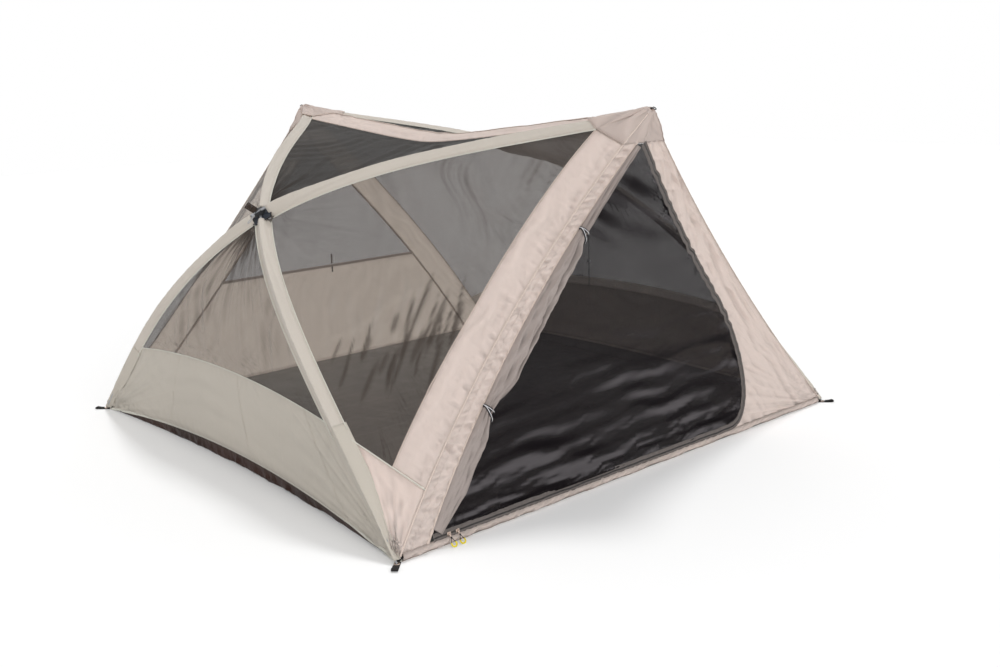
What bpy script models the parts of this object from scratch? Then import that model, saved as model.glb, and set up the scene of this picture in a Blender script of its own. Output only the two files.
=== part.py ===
"""Two-peak tent for three sleepers: an inner tent pitched on two arched poles.

Each pole starts in a corner, climbs over the opposite side of the tent, bends round a
pre-bent elbow at one peak and comes down to the mirrored corner. The two poles cross at
the middle of each side wall. Sleeves, sewn over the seams of the canopy, hold them.

The frame: x runs across the door, y from the door to the rear, z up. The origin is on
the ground, in the middle of the floor. Everything is drawn for the left front quarter
(x and y negative) and mirrored by signs, so side = -1 is left and end = -1 is front.
"""
import math

import bmesh
import bpy
from mathutils import Matrix, Vector

# Driving sizes of the pitched tent
FLOOR_WIDTH = 2.10
FLOOR_DEPTH = 2.068
PEAK_HEIGHT = 1.194
RIDGE_LOW = PEAK_HEIGHT - 0.094
RIDGE_ROUNDING = 0.15
ROOF_BLEND = 0.25
CROSSING_HALF_WIDTH = 0.822
CROSSING_HEIGHT = 0.876
WALL_BOW = 0.078
SEAM_BULGE = 0.018
PANEL_SAG = 0.006

# Run of a pole, as metres moved per metre of depth
PEAK_OUT_SLOPE = 0.52
PEAK_DOWN_SLOPE = 0.215
CROSSING_OUT_SLOPE = 0.618
CROSSING_DOWN_SLOPE = 0.62
GROUND_OUT_SLOPE = 0.08
GROUND_DOWN_SLOPE = 1.04

# Poles, sleeves and what joins them
POLE_DIAMETER = 0.009
POLE_TIP_DIAMETER = 0.006
POLE_TIP_LENGTH = 0.030
POLE_END_HEIGHT = 0.0036
ELBOW_DIAMETER = 0.0106
ELBOW_LEG = 0.085
ELBOW_BEND = 0.022
EYELET_RADIUS = 0.0058
EYELET_WIRE = 0.0034
FIT = 0.0003
CLIP_WEB = 0.0018
CLIP_WIDTH = 0.034
CLIP_LIP = 0.0016
SLEEVE_WIDTH = 0.062
SLEEVE_THICKNESS = 0.0136
SLEEVE_WALL = 0.0009
SLEEVE_CROWN = 0.4
SLEEVE_CLEARANCE = 0.0018
PATCH_HALF = 0.036
PATCH_THICKNESS = 0.0009
LIFT_REACH = 0.30

# Fabric
FABRIC = 0.0008
SEAM_GAP = 0.0003
SIDE_BAND_WIDTH = 0.122
FRONT_BAND_TOP = 0.064
FRONT_BAND_FOOT = 0.098
REAR_BAND_WIDTH = 0.15
REAR_PANEL_HEIGHT = 0.47
CAP_REACH = 0.20
CAP_SEAM_REACH = 0.14
CAP_RIDGE_REACH = 0.25
CAP_NOSE = 0.016
CAP_MOUTH = 0.011
CAP_FOOT = 0.018
TUB_HEIGHT = 0.318
TUB_ARCH = 0.05
HEM_RISE = 0.09
HEM_BOW = 0.05
CORNER_CUT = 0.014
FLOOR_THICKNESS = 0.0012
SILL_HEIGHT = 0.032

# Door, zip and storm flap
ZIP_TOP = (0.016, PEAK_HEIGHT - 0.119)
ZIP_SHOULDER = (0.45, PEAK_HEIGHT - 0.674)
ZIP_BULGE = 0.62
ZIP_BULGE_HEIGHT = 0.30
ZIP_FOOT = 0.45
ZIP_HALF_WIDTH = 0.0055
ZIP_THICKNESS = 0.0022
DOOR_SWING = math.radians(75)
DOOR_MARGIN = 0.012
ROLL_WIDTH = 0.066
ROLL_TIE_WIDTH = 0.030
ROLL_DEPTH = 0.040
ROLL_PLEATS = 4
ROLL_FOOT = 0.068
TIE_HEIGHTS = (0.847, 0.364)
TIE_CORD = 0.0028
TAIL_LENGTH = 0.165
TAIL_CORD = 0.002
BEAD_DIAMETER = 0.011
BEAD_DROP = 0.085
SLIDER_LENGTH = 0.013
SLIDER_WIDTH = 0.010
SLIDER_PLATE = 0.0022
SLIDER_PARKING = (0.068, 0.100)
PULL_LENGTH = 0.040
PULL_WIDTH = 0.013
PULL_CORD = 0.002
TOGGLE_LENGTH = 0.030
TOGGLE_DIAMETER = 0.008

# Corner webbing and the tabs of the rain cover
WEBBING_WIDTH = 0.025
WEBBING_LENGTH = 0.046
WEBBING_THICKNESS = 0.002
GROMMET_HOLE = 0.011
TAB_LENGTH = 0.046
TAB_WIDTH = 0.026
TAB_NECK_WIDTH = 0.016
TAB_NECK_LENGTH = 0.010
TAB_THICKNESS = 0.0022
TAB_RISE = math.radians(48)

# Steps along the curves
UPPER_STEPS = 6
MESH_STEPS = 6
FOOT_STEPS = 4
SIDE_COLUMNS = 8
BAR_RESOLUTION = 2

LEFT = -1
RIGHT = 1
FRONT = -1
REAR = 1
HALF_DEPTH = FLOOR_DEPTH / 2
HALF_WIDTH = FLOOR_WIDTH / 2
SKIN_DROP = SLEEVE_THICKNESS / 2 + FABRIC + SLEEVE_CLEARANCE
CLIP_STEP = POLE_DIAMETER + 2 * FIT + CLIP_WEB
CAP_LIFT = SLEEVE_THICKNESS / 2 + 0.0028

PEAK = Vector((0, -HALF_DEPTH, PEAK_HEIGHT))
REAR_PEAK = Vector((0, HALF_DEPTH, PEAK_HEIGHT))
CROSSING = Vector((-CROSSING_HALF_WIDTH, 0, CROSSING_HEIGHT))
CORNER = Vector((-HALF_WIDTH, -HALF_DEPTH, 0))
REAR_CORNER = Vector((-HALF_WIDTH, HALF_DEPTH, 0))
INSIDE = Vector((0, 0, 0.4))


def mix(a, b, t):
    """Value or point that lies the share t of the way from a to b."""
    return a + (b - a) * t


def flip(point, side=LEFT, end=FRONT):
    """Mirror a point of the left front quarter to another quarter."""
    return Vector((-point.x * side, -point.y * end, point.z))


# Lines that shape the canopy

def bezier(p0, p1, p2, p3, t):
    """Point of a cubic curve."""
    s = 1 - t
    return p0 * s ** 3 + p1 * 3 * t * s ** 2 + p2 * 3 * t ** 2 * s + p3 * t ** 3


def upper_line(t):
    """Centre line of the front pole, from the front peak to the crossing."""
    reach = HALF_DEPTH / 3
    start = PEAK + Vector((-PEAK_OUT_SLOPE, 1, -PEAK_DOWN_SLOPE)) * reach
    finish = CROSSING - Vector((-CROSSING_OUT_SLOPE, 1, -CROSSING_DOWN_SLOPE)) * reach
    return bezier(PEAK, start, finish, CROSSING, t)


def lower_line(t):
    """Centre line of the rear pole, from the crossing to the front corner."""
    reach = HALF_DEPTH / 3
    foot = CORNER + Vector((0, 0, POLE_END_HEIGHT))
    start = CROSSING + Vector((-CROSSING_OUT_SLOPE, -1, -CROSSING_DOWN_SLOPE)) * reach
    finish = foot + Vector((GROUND_OUT_SLOPE, 1, GROUND_DOWN_SLOPE)) * reach
    return bezier(CROSSING, start, finish, foot, t)


def tangent(line, t):
    """Direction of a line at t."""
    step = 0.002
    return (line(min(t + step, 1)) - line(max(t - step, 0))).normalized()


def stations(line, start_gap, end_gap, steps):
    """Curve values at even distances, with a gap in metres left at each end."""
    samples = 240
    points = [line(i / samples) for i in range(samples + 1)]
    reach = [0.0]
    for a, b in zip(points, points[1:]):
        reach.append(reach[-1] + (b - a).length)
    values = []
    for i in range(steps + 1):
        goal = mix(start_gap, reach[-1] - end_gap, i / steps)
        k = next(n for n in range(1, samples + 1) if reach[n] >= goal or n == samples)
        values.append((k - 1 + (goal - reach[k - 1]) / (reach[k] - reach[k - 1])) / samples)
    return values


def length_below(line, height):
    """Length of the part of a line that lies below a height."""
    samples = 200
    points = [line(i / samples) for i in range(samples + 1)]
    return sum((b - a).length for a, b in zip(points, points[1:]) if b.z < height)


def length_of(line):
    """Whole length of a line."""
    return length_below(line, PEAK_HEIGHT * 2)


UPPER_STATIONS = stations(upper_line, CAP_REACH, PATCH_HALF, UPPER_STEPS)
TUB_LENGTH = length_below(lower_line, TUB_HEIGHT)
MESH_STATIONS = stations(lower_line, PATCH_HALF, TUB_LENGTH, MESH_STEPS)
FOOT_STATIONS = stations(lower_line, length_of(lower_line) - TUB_LENGTH, POLE_TIP_LENGTH,
                         FOOT_STEPS)
LOWER_STATIONS = MESH_STATIONS + FOOT_STATIONS[1:]


def plane_normal(a, b, c):
    """Unit normal of the plane through three points, facing out of the tent."""
    normal = (b - a).cross(c - a).normalized()
    return normal if normal.dot(a - INSIDE) > 0 else -normal


SIDE_NORMAL = plane_normal(PEAK, CROSSING, CORNER)
TOP_NORMAL = plane_normal(PEAK, CROSSING, REAR_PEAK)
LOW_NORMAL = plane_normal(CORNER, CROSSING, REAR_CORNER)

CHORD_START = upper_line(UPPER_STATIONS[-1])
CHORD_END = flip(lower_line(LOWER_STATIONS[0]), LEFT, REAR)
CHORD = (CHORD_END - CHORD_START).normalized()
CHORD_MIRROR = Vector((CHORD.x, -CHORD.y, CHORD.z))
CROSS_CENTRE = (CHORD_START + CHORD_END) / 2
CROSS_NORMAL = CHORD.cross(CHORD_MIRROR).normalized()
if CROSS_NORMAL.x > 0:
    CROSS_NORMAL.negate()


def upper_normal(t):
    """Outward direction of the canopy on the upper line, square to the line."""
    normal = mix((SIDE_NORMAL + TOP_NORMAL).normalized(), CROSS_NORMAL, t)
    along = tangent(upper_line, t)
    return (normal - along * normal.dot(along)).normalized()


def lower_normal(t):
    """Outward direction of the canopy on the lower line, square to the line."""
    normal = mix(CROSS_NORMAL, (SIDE_NORMAL + LOW_NORMAL).normalized(), t)
    along = tangent(lower_line, t)
    return (normal - along * normal.dot(along)).normalized()


def upper_skin(t):
    """Canopy just under the upper sleeve."""
    return upper_line(t) - upper_normal(t) * SKIN_DROP


def lower_skin(t):
    """Canopy just under the lower sleeve."""
    return lower_line(t) - lower_normal(t) * SKIN_DROP


def crossing_lift(point):
    """How far the outer pole stands off near the crossing, so that it clears the other."""
    distance = max((point - CROSSING).length - PATCH_HALF * 1.1, 0)
    share = min(distance / LIFT_REACH, 1)
    return CLIP_STEP * (1 + math.cos(math.pi * share)) / 2


def wall_depth(z):
    """How far the front wall lies from the middle at a height: its middle is bowed in."""
    u = 1 - z / PEAK_HEIGHT
    return -HALF_DEPTH + WALL_BOW * 4 * u * (1 - u)


def seam_point(u):
    """Edge seam between front and side, from the peak (u = 0) to the corner (u = 1)."""
    bulge = SEAM_BULGE * 4 * u * (1 - u)
    outward = Vector((-PEAK_HEIGHT, 0, HALF_WIDTH)).normalized()
    point = Vector((-HALF_WIDTH * u, 0, PEAK_HEIGHT * (1 - u))) + outward * bulge
    point.y = wall_depth(point.z)
    return point


def seam_at_height(z):
    """Value of u at which the edge seam has the height z."""
    low, high = 0.0, 1.0
    for _ in range(30):
        u = (low + high) / 2
        if seam_point(u).z > z:
            low = u
        else:
            high = u
    return (low + high) / 2


EDGE_LINE = (CORNER - PEAK).normalized()
EDGE_LENGTH = (CORNER - PEAK).length
CAP_SEAM = CAP_SEAM_REACH / EDGE_LENGTH
SILL_VALUE = seam_at_height(SILL_HEIGHT)
POLE_SIDE = ([upper_skin(t) for t in UPPER_STATIONS]
             + [lower_skin(t) for t in MESH_STATIONS])


def seam_values():
    """Places on the edge seam that belong to the stations of the poles."""
    projected = [(p - PEAK).dot(EDGE_LINE) / EDGE_LENGTH for p in POLE_SIDE]
    first, last = projected[0], projected[-1]
    return [mix(CAP_SEAM, last, (u - first) / (last - first)) for u in projected]


SEAM_VALUES = seam_values()
FOOT_VALUES = [mix(SEAM_VALUES[-1], SILL_VALUE, 1 - (1 - k / FOOT_STEPS) ** 2)
               for k in range(1, FOOT_STEPS + 1)]
FRONT_VALUES = SEAM_VALUES + FOOT_VALUES
CAP_HEIGHT = seam_point(CAP_SEAM).z


def band_edge(k):
    """Inner edge of the solid band that runs down the side beside the edge seam."""
    seam = seam_point(SEAM_VALUES[k])
    return seam + (POLE_SIDE[k] - seam).normalized() * SIDE_BAND_WIDTH


def front_band_width(u):
    """Width of the front part of the band, measured along x."""
    return mix(FRONT_BAND_TOP, FRONT_BAND_FOOT, u)


def door_edge(z):
    """Sewn edge of the door, on the front wall at the height z."""
    u = seam_at_height(z)
    return seam_point(u) + Vector((front_band_width(u), 0, 0))


def roof_point(end, share):
    """Roof between a point near the front peak and its mirror near the rear peak."""
    straight = mix(RIDGE_LOW, CROSSING_HEIGHT, abs(end.x) / CROSSING_HALF_WIDTH)
    middle = mix(end.z, straight, min(abs(end.y) / ROOF_BLEND, 1))
    rounding = RIDGE_ROUNDING
    profile = math.sqrt(share ** 2 + rounding ** 2) - rounding
    profile /= math.sqrt(1 + rounding ** 2) - rounding
    return Vector((end.x, -end.y * share, mix(middle, end.z, profile)))


def ridge_end():
    """Point of the ridge line at the rim of the front peak cap."""
    y = -HALF_DEPTH + CAP_RIDGE_REACH
    return roof_point(PEAK, y / HALF_DEPTH)


# Grids of points of the panels of the left side

def arched_row(front, rise, inward):
    """Row from a pole point to its mirror point, up and in towards its middle."""
    rear = flip(front, LEFT, REAR)
    row = []
    for k in range(SIDE_COLUMNS + 1):
        share = k / SIDE_COLUMNS
        swell = 4 * share * (1 - share)
        row.append(mix(front, rear, share) + Vector((inward, 0, rise)) * swell)
    return row


def corner_points():
    """Ends of the cut corner of the fabric: one on the front hem, one on the side hem."""
    on_front = CORNER + Vector((CORNER_CUT + SKIN_DROP, SKIN_DROP, 0))
    on_side = CORNER + Vector((SKIN_DROP, CORNER_CUT + SKIN_DROP, 0))
    return on_front, on_side


def tub_rows():
    """Rows of the low solid wall of one side, from its top seam down to its hem."""
    on_front, on_side = corner_points()
    pole_points = [lower_skin(t) for t in FOOT_STATIONS] + [on_side]
    seam_points = [seam_point(u) for u in FRONT_VALUES[-FOOT_STEPS - 1:]] + [on_front]
    rows = []
    for k, (pole_point, edge_point) in enumerate(zip(pole_points, seam_points)):
        share = k / (len(pole_points) - 1)
        rise = mix(TUB_ARCH, HEM_RISE, share)
        inward = mix(PANEL_SAG, HEM_BOW, share ** 2)
        rows.append([edge_point] + arched_row(pole_point, rise, inward)
                    + [flip(edge_point, LEFT, REAR)])
    return rows


def sagging_rows(first, last, columns, normal):
    """Rows of points between two lines, drawn in a little in the middle of the panel."""
    rows = []
    for r, (a, b) in enumerate(zip(first, last)):
        place = r / (len(first) - 1)
        row = []
        for k in range(columns + 1):
            share = k / columns
            sag = PANEL_SAG * 16 * share * (1 - share) * place * (1 - place)
            row.append(mix(a, b, share) - normal * sag)
        rows.append(row)
    return rows


SEAM_EDGE = [seam_point(u) for u in SEAM_VALUES]
BAND_EDGE = [band_edge(k) for k in range(len(SEAM_VALUES))]
FRONT_ROWS = sagging_rows(BAND_EDGE, POLE_SIDE, 3, SIDE_NORMAL)
REAR_ROWS = sagging_rows(SEAM_EDGE, POLE_SIDE, 4, SIDE_NORMAL)
TOP_ROWS = [[roof_point(upper_skin(t), 2 * k / SIDE_COLUMNS - 1)
             for k in range(SIDE_COLUMNS + 1)] for t in UPPER_STATIONS]
LOW_ROWS = [arched_row(lower_skin(t), TUB_ARCH * (k / MESH_STEPS) ** 2,
                       PANEL_SAG * (k / MESH_STEPS) ** 2)
            for k, t in enumerate(MESH_STATIONS)]
TUB_ROWS = tub_rows()


# Scene, materials and mesh helpers

def clear_scene():
    """Remove whatever the file holds."""
    for item in list(bpy.data.objects):
        bpy.data.objects.remove(item, do_unlink=True)


def make_collections():
    """Collection of the parts and collection of the cutters."""
    parts = bpy.data.collections.new("two_peak_tent")
    cutters = bpy.data.collections.new("cutters")
    for collection in (parts, cutters):
        bpy.context.scene.collection.children.link(collection)
    return parts, cutters


clear_scene()
PARTS, CUTTERS = make_collections()


def make_material(name, colour, roughness, metallic=0.0, alpha=1.0):
    """Plain material of a part."""
    material = bpy.data.materials.new(name)
    material.use_nodes = True
    shader = material.node_tree.nodes["Principled BSDF"]
    shader.inputs["Base Color"].default_value = (*colour, 1)
    shader.inputs["Roughness"].default_value = roughness
    shader.inputs["Metallic"].default_value = metallic
    shader.inputs["Alpha"].default_value = alpha
    material.diffuse_color = (*colour, alpha)
    return material


CANOPY = make_material("canopy_fabric", (0.62, 0.56, 0.52), 0.75)
TUB = make_material("tub_fabric", (0.50, 0.48, 0.43), 0.6)
MESH = make_material("insect_mesh", (0.045, 0.042, 0.042), 0.8, alpha=0.55)
FLOOR = make_material("floor_fabric", (0.08, 0.09, 0.09), 0.5)
SLEEVE = make_material("sleeve_fabric", (0.56, 0.55, 0.48), 0.7)
POLE = make_material("pole_tube", (0.06, 0.06, 0.065), 0.35, 0.9)
PLASTIC = make_material("black_plastic", (0.015, 0.015, 0.017), 0.45)
WEBBING = make_material("webbing", (0.02, 0.018, 0.018), 0.85)
METAL = make_material("slider_metal", (0.55, 0.5, 0.46), 0.3, 1.0)


def link(name, mesh, material, collection=PARTS):
    """Object of a mesh, in a collection and with its material."""
    item = bpy.data.objects.new(name, mesh)
    mesh.materials.clear()
    mesh.materials.append(material)
    collection.objects.link(item)
    return item


def finish_mesh(name, bm, material, collection=PARTS):
    """Turn a bmesh into an object."""
    mesh = bpy.data.meshes.new(name)
    bm.to_mesh(mesh)
    bm.free()
    return link(name, mesh, material, collection)


def add_cutter(target, cutter, operation="DIFFERENCE"):
    """Cut or join a hidden mesh with a part."""
    cutter.hide_render = True
    cutter.display_type = "WIRE"
    modifier = target.modifiers.new(operation.lower(), "BOOLEAN")
    modifier.operation = operation
    modifier.object = cutter


def inset_grid(grid, gap):
    """Pull the border of a grid of points inwards, so that two panels never touch."""
    def at(row, column):
        if 0 <= row < len(grid) and 0 <= column < len(grid[row]):
            return grid[row][column]
        return None

    result = []
    for r, row in enumerate(grid):
        moved = []
        for c, point in enumerate(row):
            if point is None:
                moved.append(None)
                continue
            place = point.copy()
            for dr, dc in ((0, 1), (0, -1), (1, 0), (-1, 0)):
                inner = at(r + dr, c + dc)
                if inner is not None and at(r - dr, c - dc) is None:
                    place += (inner - point).normalized() * gap
            moved.append(place)
        result.append(moved)
    return result


def panel(name, grid, material, thickness=FABRIC, inward=False, side=LEFT, end=FRONT):
    """Fabric panel from a grid of points of the left front quarter."""
    bm = bmesh.new()
    rows = []
    for row in inset_grid(grid, SEAM_GAP):
        rows.append([bm.verts.new(flip(p, side, end)) if p is not None else None for p in row])
    for upper, lower in zip(rows, rows[1:]):
        for k in range(min(len(upper), len(lower)) - 1):
            corners = (upper[k], upper[k + 1], lower[k + 1], lower[k])
            if None not in corners:
                bm.faces.new(corners)
    bm.normal_update()
    outward = sum(f.normal.dot(f.calc_center_median() - INSIDE) * f.calc_area() for f in bm.faces)
    if outward < 0:
        bmesh.ops.reverse_faces(bm, faces=bm.faces)
    item = finish_mesh(name, bm, material)
    shell = item.modifiers.new("thickness", "SOLIDIFY")
    shell.thickness = thickness
    shell.offset = -1 if inward else 1
    item.data.shade_smooth()
    return item


def face_outward(bm):
    """Turn the faces of a closed body outwards."""
    bmesh.ops.recalc_face_normals(bm, faces=bm.faces)
    if bm.calc_volume(signed=True) < 0:
        bmesh.ops.reverse_faces(bm, faces=bm.faces)


def loft(name, rings, material, collection=PARTS):
    """Closed solid through rings of points, with flat ends."""
    bm = bmesh.new()
    loops = [[bm.verts.new(p) for p in ring] for ring in rings]
    count = len(loops[0])
    for a, b in zip(loops, loops[1:]):
        for k in range(count):
            bm.faces.new((a[k], a[(k + 1) % count], b[(k + 1) % count], b[k]))
    bm.faces.new(list(reversed(loops[0])))
    bm.faces.new(loops[-1])
    face_outward(bm)
    item = finish_mesh(name, bm, material, collection)
    item.data.shade_smooth()
    return item


def hollow_loft(name, outer, inner, material):
    """Open-ended tube with a wall, from its outer and its inner rings."""
    bm = bmesh.new()
    skins = [[[bm.verts.new(p) for p in ring] for ring in rings] for rings in (outer, inner)]
    count = len(outer[0])
    for skin in skins:
        for a, b in zip(skin, skin[1:]):
            for k in range(count):
                bm.faces.new((a[k], a[(k + 1) % count], b[(k + 1) % count], b[k]))
    for end in (0, -1):
        a, b = skins[0][end], skins[1][end]
        for k in range(count):
            bm.faces.new((a[k], a[(k + 1) % count], b[(k + 1) % count], b[k]))
    face_outward(bm)
    item = finish_mesh(name, bm, material)
    item.data.shade_smooth()
    return item


def tube(name, points, radius, material, collection=PARTS, cyclic=False, radii=None,
         resolution=BAR_RESOLUTION):
    """Round bar, wire or cord through points."""
    curve = bpy.data.curves.new(name, "CURVE")
    curve.dimensions = "3D"
    curve.bevel_depth = radius
    curve.bevel_resolution = resolution
    curve.use_fill_caps = not cyclic
    spline = curve.splines.new("POLY")
    spline.points.add(len(points) - 1)
    spline.use_cyclic_u = cyclic
    for k, point in enumerate(points):
        spline.points[k].co = (*point, 1)
        spline.points[k].radius = radii[k] if radii else 1
    curve.materials.append(material)
    item = bpy.data.objects.new(name, curve)
    collection.objects.link(item)
    return item


def as_mesh(item, name, material, collection=PARTS):
    """Turn a curve object into a welded mesh object of the same shape."""
    bpy.context.view_layer.update()
    evaluated = item.evaluated_get(bpy.context.evaluated_depsgraph_get())
    mesh = bpy.data.meshes.new_from_object(evaluated)
    mesh.name = name
    bm = bmesh.new()
    bm.from_mesh(mesh)
    bmesh.ops.remove_doubles(bm, verts=bm.verts, dist=0.00001)
    bm.transform(item.matrix_world)
    face_outward(bm)
    bm.to_mesh(mesh)
    bm.free()
    bpy.data.objects.remove(item, do_unlink=True)
    return link(name, mesh, material, collection)


def flat_outline(name, outlines, thickness, material, frame):
    """Flat plate with holes: the first outline is its edge, the others are holes."""
    curve = bpy.data.curves.new(name, "CURVE")
    curve.dimensions = "2D"
    curve.fill_mode = "BOTH"
    curve.extrude = thickness / 2
    for outline in outlines:
        spline = curve.splines.new("POLY")
        spline.points.add(len(outline) - 1)
        spline.use_cyclic_u = True
        for k, (x, y) in enumerate(outline):
            spline.points[k].co = (x, y, 0, 1)
    item = bpy.data.objects.new(name + "_outline", curve)
    PARTS.objects.link(item)
    item.matrix_world = frame
    return as_mesh(item, name, material)


def circle(centre, radius, count):
    """Points of a round hole or disc."""
    turns = [2 * math.pi * k / count for k in range(count)]
    return [(centre[0] + radius * math.cos(a), centre[1] + radius * math.sin(a)) for a in turns]


def rounded_rectangle(low, high, radius, arc_steps=3):
    """Outline of a rectangle with round corners."""
    points = []
    quarters = ((high[0] - radius, high[1] - radius, 0), (low[0] + radius, high[1] - radius, 1),
                (low[0] + radius, low[1] + radius, 2), (high[0] - radius, low[1] + radius, 3))
    for x, y, quarter in quarters:
        for k in range(arc_steps + 1):
            angle = math.pi / 2 * (quarter + k / arc_steps)
            points.append((x + radius * math.cos(angle), y + radius * math.sin(angle)))
    return points


def frame_matrix(origin, x_axis, z_axis):
    """Placement with a given origin, x direction and z direction."""
    z_axis = z_axis.normalized()
    x_axis = (x_axis - z_axis * x_axis.dot(z_axis)).normalized()
    y_axis = z_axis.cross(x_axis)
    matrix = Matrix((x_axis, y_axis, z_axis)).transposed().to_4x4()
    matrix.translation = origin
    return matrix


# Poles and sleeves

def leg_path(line, normal, values, lifted):
    """Points and outward directions along one leg of a pole."""
    path = []
    for t in values:
        point = line(t)
        if lifted:
            point = point + normal(t) * crossing_lift(point)
        path.append((point, normal(t)))
    return path


def sleeve_foot(skin, neighbour, along, out, room):
    """Direction and reach of a sleeve's sewn side on a panel, and the panel's normal."""
    direction = (neighbour - skin).normalized()
    reach = SLEEVE_WIDTH / 2 / direction.cross(along).length
    normal = direction.cross(along).normalized()
    if normal.dot(out) < 0:
        normal.negate()
    return direction * min(reach, room), normal


def sleeve_rings(station):
    """Outer and inner cross section of a sleeve that lies on the two panels beside it."""
    point, out, along, skin, neighbours, rooms = station
    half_height = SLEEVE_THICKNESS / 2
    clear = FABRIC + SLEEVE_CLEARANCE
    across = along.cross(out).normalized()
    top = point + out * half_height
    bottom = skin + out * clear
    outer, inner = [], []
    for neighbour, room in zip(neighbours, rooms):
        step, normal = sleeve_foot(skin, neighbour, along, out, room)
        sign = 1 if step.dot(across) > 0 else -1
        edge = skin + step + normal * clear
        under = skin + step / 2 + normal * clear
        width = min(SLEEVE_WIDTH / 2, abs(step.dot(across)) * 1.2)
        crown = point + across * (sign * SLEEVE_CROWN * width) + out * (half_height * 0.35)
        core = mix(edge, mix(crown, under, 0.5), 0.22)
        outer.append((edge, crown, under))
        inner.append((core, crown - out * SLEEVE_WALL - across * (sign * SLEEVE_WALL * 0.5),
                      under + normal * SLEEVE_WALL))
    rings = []
    for parts, high, low in ((outer, top, bottom),
                             (inner, top - out * SLEEVE_WALL, bottom + out * SLEEVE_WALL)):
        (edge_a, crown_a, under_a), (edge_b, crown_b, under_b) = parts
        rings.append([edge_a, crown_a, high, crown_b, edge_b, under_b, low, under_a])
    return rings


def upper_sleeve_stations(lifted, end):
    """Where the upper sleeve of a leg runs and what it lies on."""
    rows = FRONT_ROWS if end == FRONT else REAR_ROWS
    result = []
    for k, t in enumerate(UPPER_STATIONS):
        out, along = upper_normal(t), tangent(upper_line, t)
        point = upper_line(t)
        if lifted:
            point = point + out * crossing_lift(point)
        room = abs(TOP_ROWS[k][0].y) * 0.92
        result.append((point, out, along, upper_skin(t), (rows[k][-2], TOP_ROWS[k][1]),
                       (1, room)))
    return result


def lower_sleeve_stations(lifted, end):
    """Where the lower sleeve of a leg runs and what it lies on."""
    rows = FRONT_ROWS if end == FRONT else REAR_ROWS
    result = []
    for k, t in enumerate(LOWER_STATIONS):
        out, along = lower_normal(t), tangent(lower_line, t)
        point = lower_line(t)
        if lifted:
            point = point + out * crossing_lift(point)
        if k <= MESH_STEPS:
            neighbours = (rows[UPPER_STEPS + 1 + k][-2], LOW_ROWS[k][1])
        else:
            neighbours = (TUB_ROWS[k - MESH_STEPS][0], TUB_ROWS[k - MESH_STEPS][2])
        room = abs(point.y) * 0.92
        result.append((point, out, along, lower_skin(t), neighbours, (1, room)))
    return result


def make_sleeve(name, course, side, end):
    """Flat sleeve over one leg of a pole."""
    outer, inner = [], []
    for station in course:
        rings = sleeve_rings(station)
        outer.append([flip(p, side, end) for p in rings[0]])
        inner.append([flip(p, side, end) for p in rings[1]])
    hollow_loft(name, outer, inner, SLEEVE)


def make_sleeves():
    """Eight sleeves: an upper and a lower one on each leg of both poles."""
    for side, side_name in ((LEFT, "left"), (RIGHT, "right")):
        for end, end_name, lifted in ((FRONT, "front", True), (REAR, "rear", False)):
            upper = upper_sleeve_stations(lifted, end)
            first = list(upper[0])
            first[0] = mix(upper[0][0], upper[1][0], 0.02)
            upper[0] = tuple(first)
            make_sleeve(f"{end_name}_pole_{side_name}_upper_sleeve", upper, side, end)
            make_sleeve(f"{end_name}_pole_{side_name}_lower_sleeve",
                        lower_sleeve_stations(lifted, -end), side, -end)


def make_poles():
    """Two arched poles, each with a left and a right half and an elbow at its peak."""
    elbow_stations = stations(upper_line, ELBOW_LEG + FIT, PATCH_HALF, UPPER_STEPS)
    first = elbow_stations[0]
    for end, end_name, lifted in ((FRONT, "front", True), (REAR, "rear", False)):
        for side, side_name in ((LEFT, "left"), (RIGHT, "right")):
            upper_values = [first, mix(first, UPPER_STATIONS[0], 0.5)] + UPPER_STATIONS
            upper = [p for p, _ in leg_path(upper_line, upper_normal, upper_values, lifted)]
            lower = [p for p, _ in leg_path(lower_line, lower_normal, LOWER_STATIONS, lifted)]
            points = [flip(p, side, end) for p in upper] + [flip(p, side, -end) for p in lower]
            last = flip(lower_line(1), side, -end)
            shoulder = mix(last, points[-1], 0.92)
            radii = [1] * len(points)
            points += [shoulder, mix(last, points[-1], 0.86), last]
            radii += [1, POLE_TIP_DIAMETER / POLE_DIAMETER, POLE_TIP_DIAMETER / POLE_DIAMETER]
            pole = tube(f"{end_name}_pole_{side_name}_half", points, POLE_DIAMETER / 2, POLE,
                        radii=radii)
            as_mesh(pole, pole.name, POLE)


def elbow_path():
    """Bent tube from the left pole half, round the peak, to the right pole half."""
    leg_end = stations(upper_line, ELBOW_LEG, 0, 1)[0]
    left = upper_line(leg_end)
    toward = (left - PEAK).normalized()
    middle = (toward + flip(toward, RIGHT)).normalized()
    half_angle = math.acos(toward.dot(middle))
    setback = ELBOW_BEND / math.tan(half_angle)
    centre = PEAK + middle * (ELBOW_BEND / math.sin(half_angle))
    start = PEAK + toward * setback
    finish = PEAK + flip(toward, RIGHT) * setback
    points = [left]
    turns = 6
    for k in range(turns + 1):
        spoke = mix(start, finish, k / turns) - centre
        points.append(centre + spoke.normalized() * ELBOW_BEND)
    points.append(flip(left, RIGHT))
    return points


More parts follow.
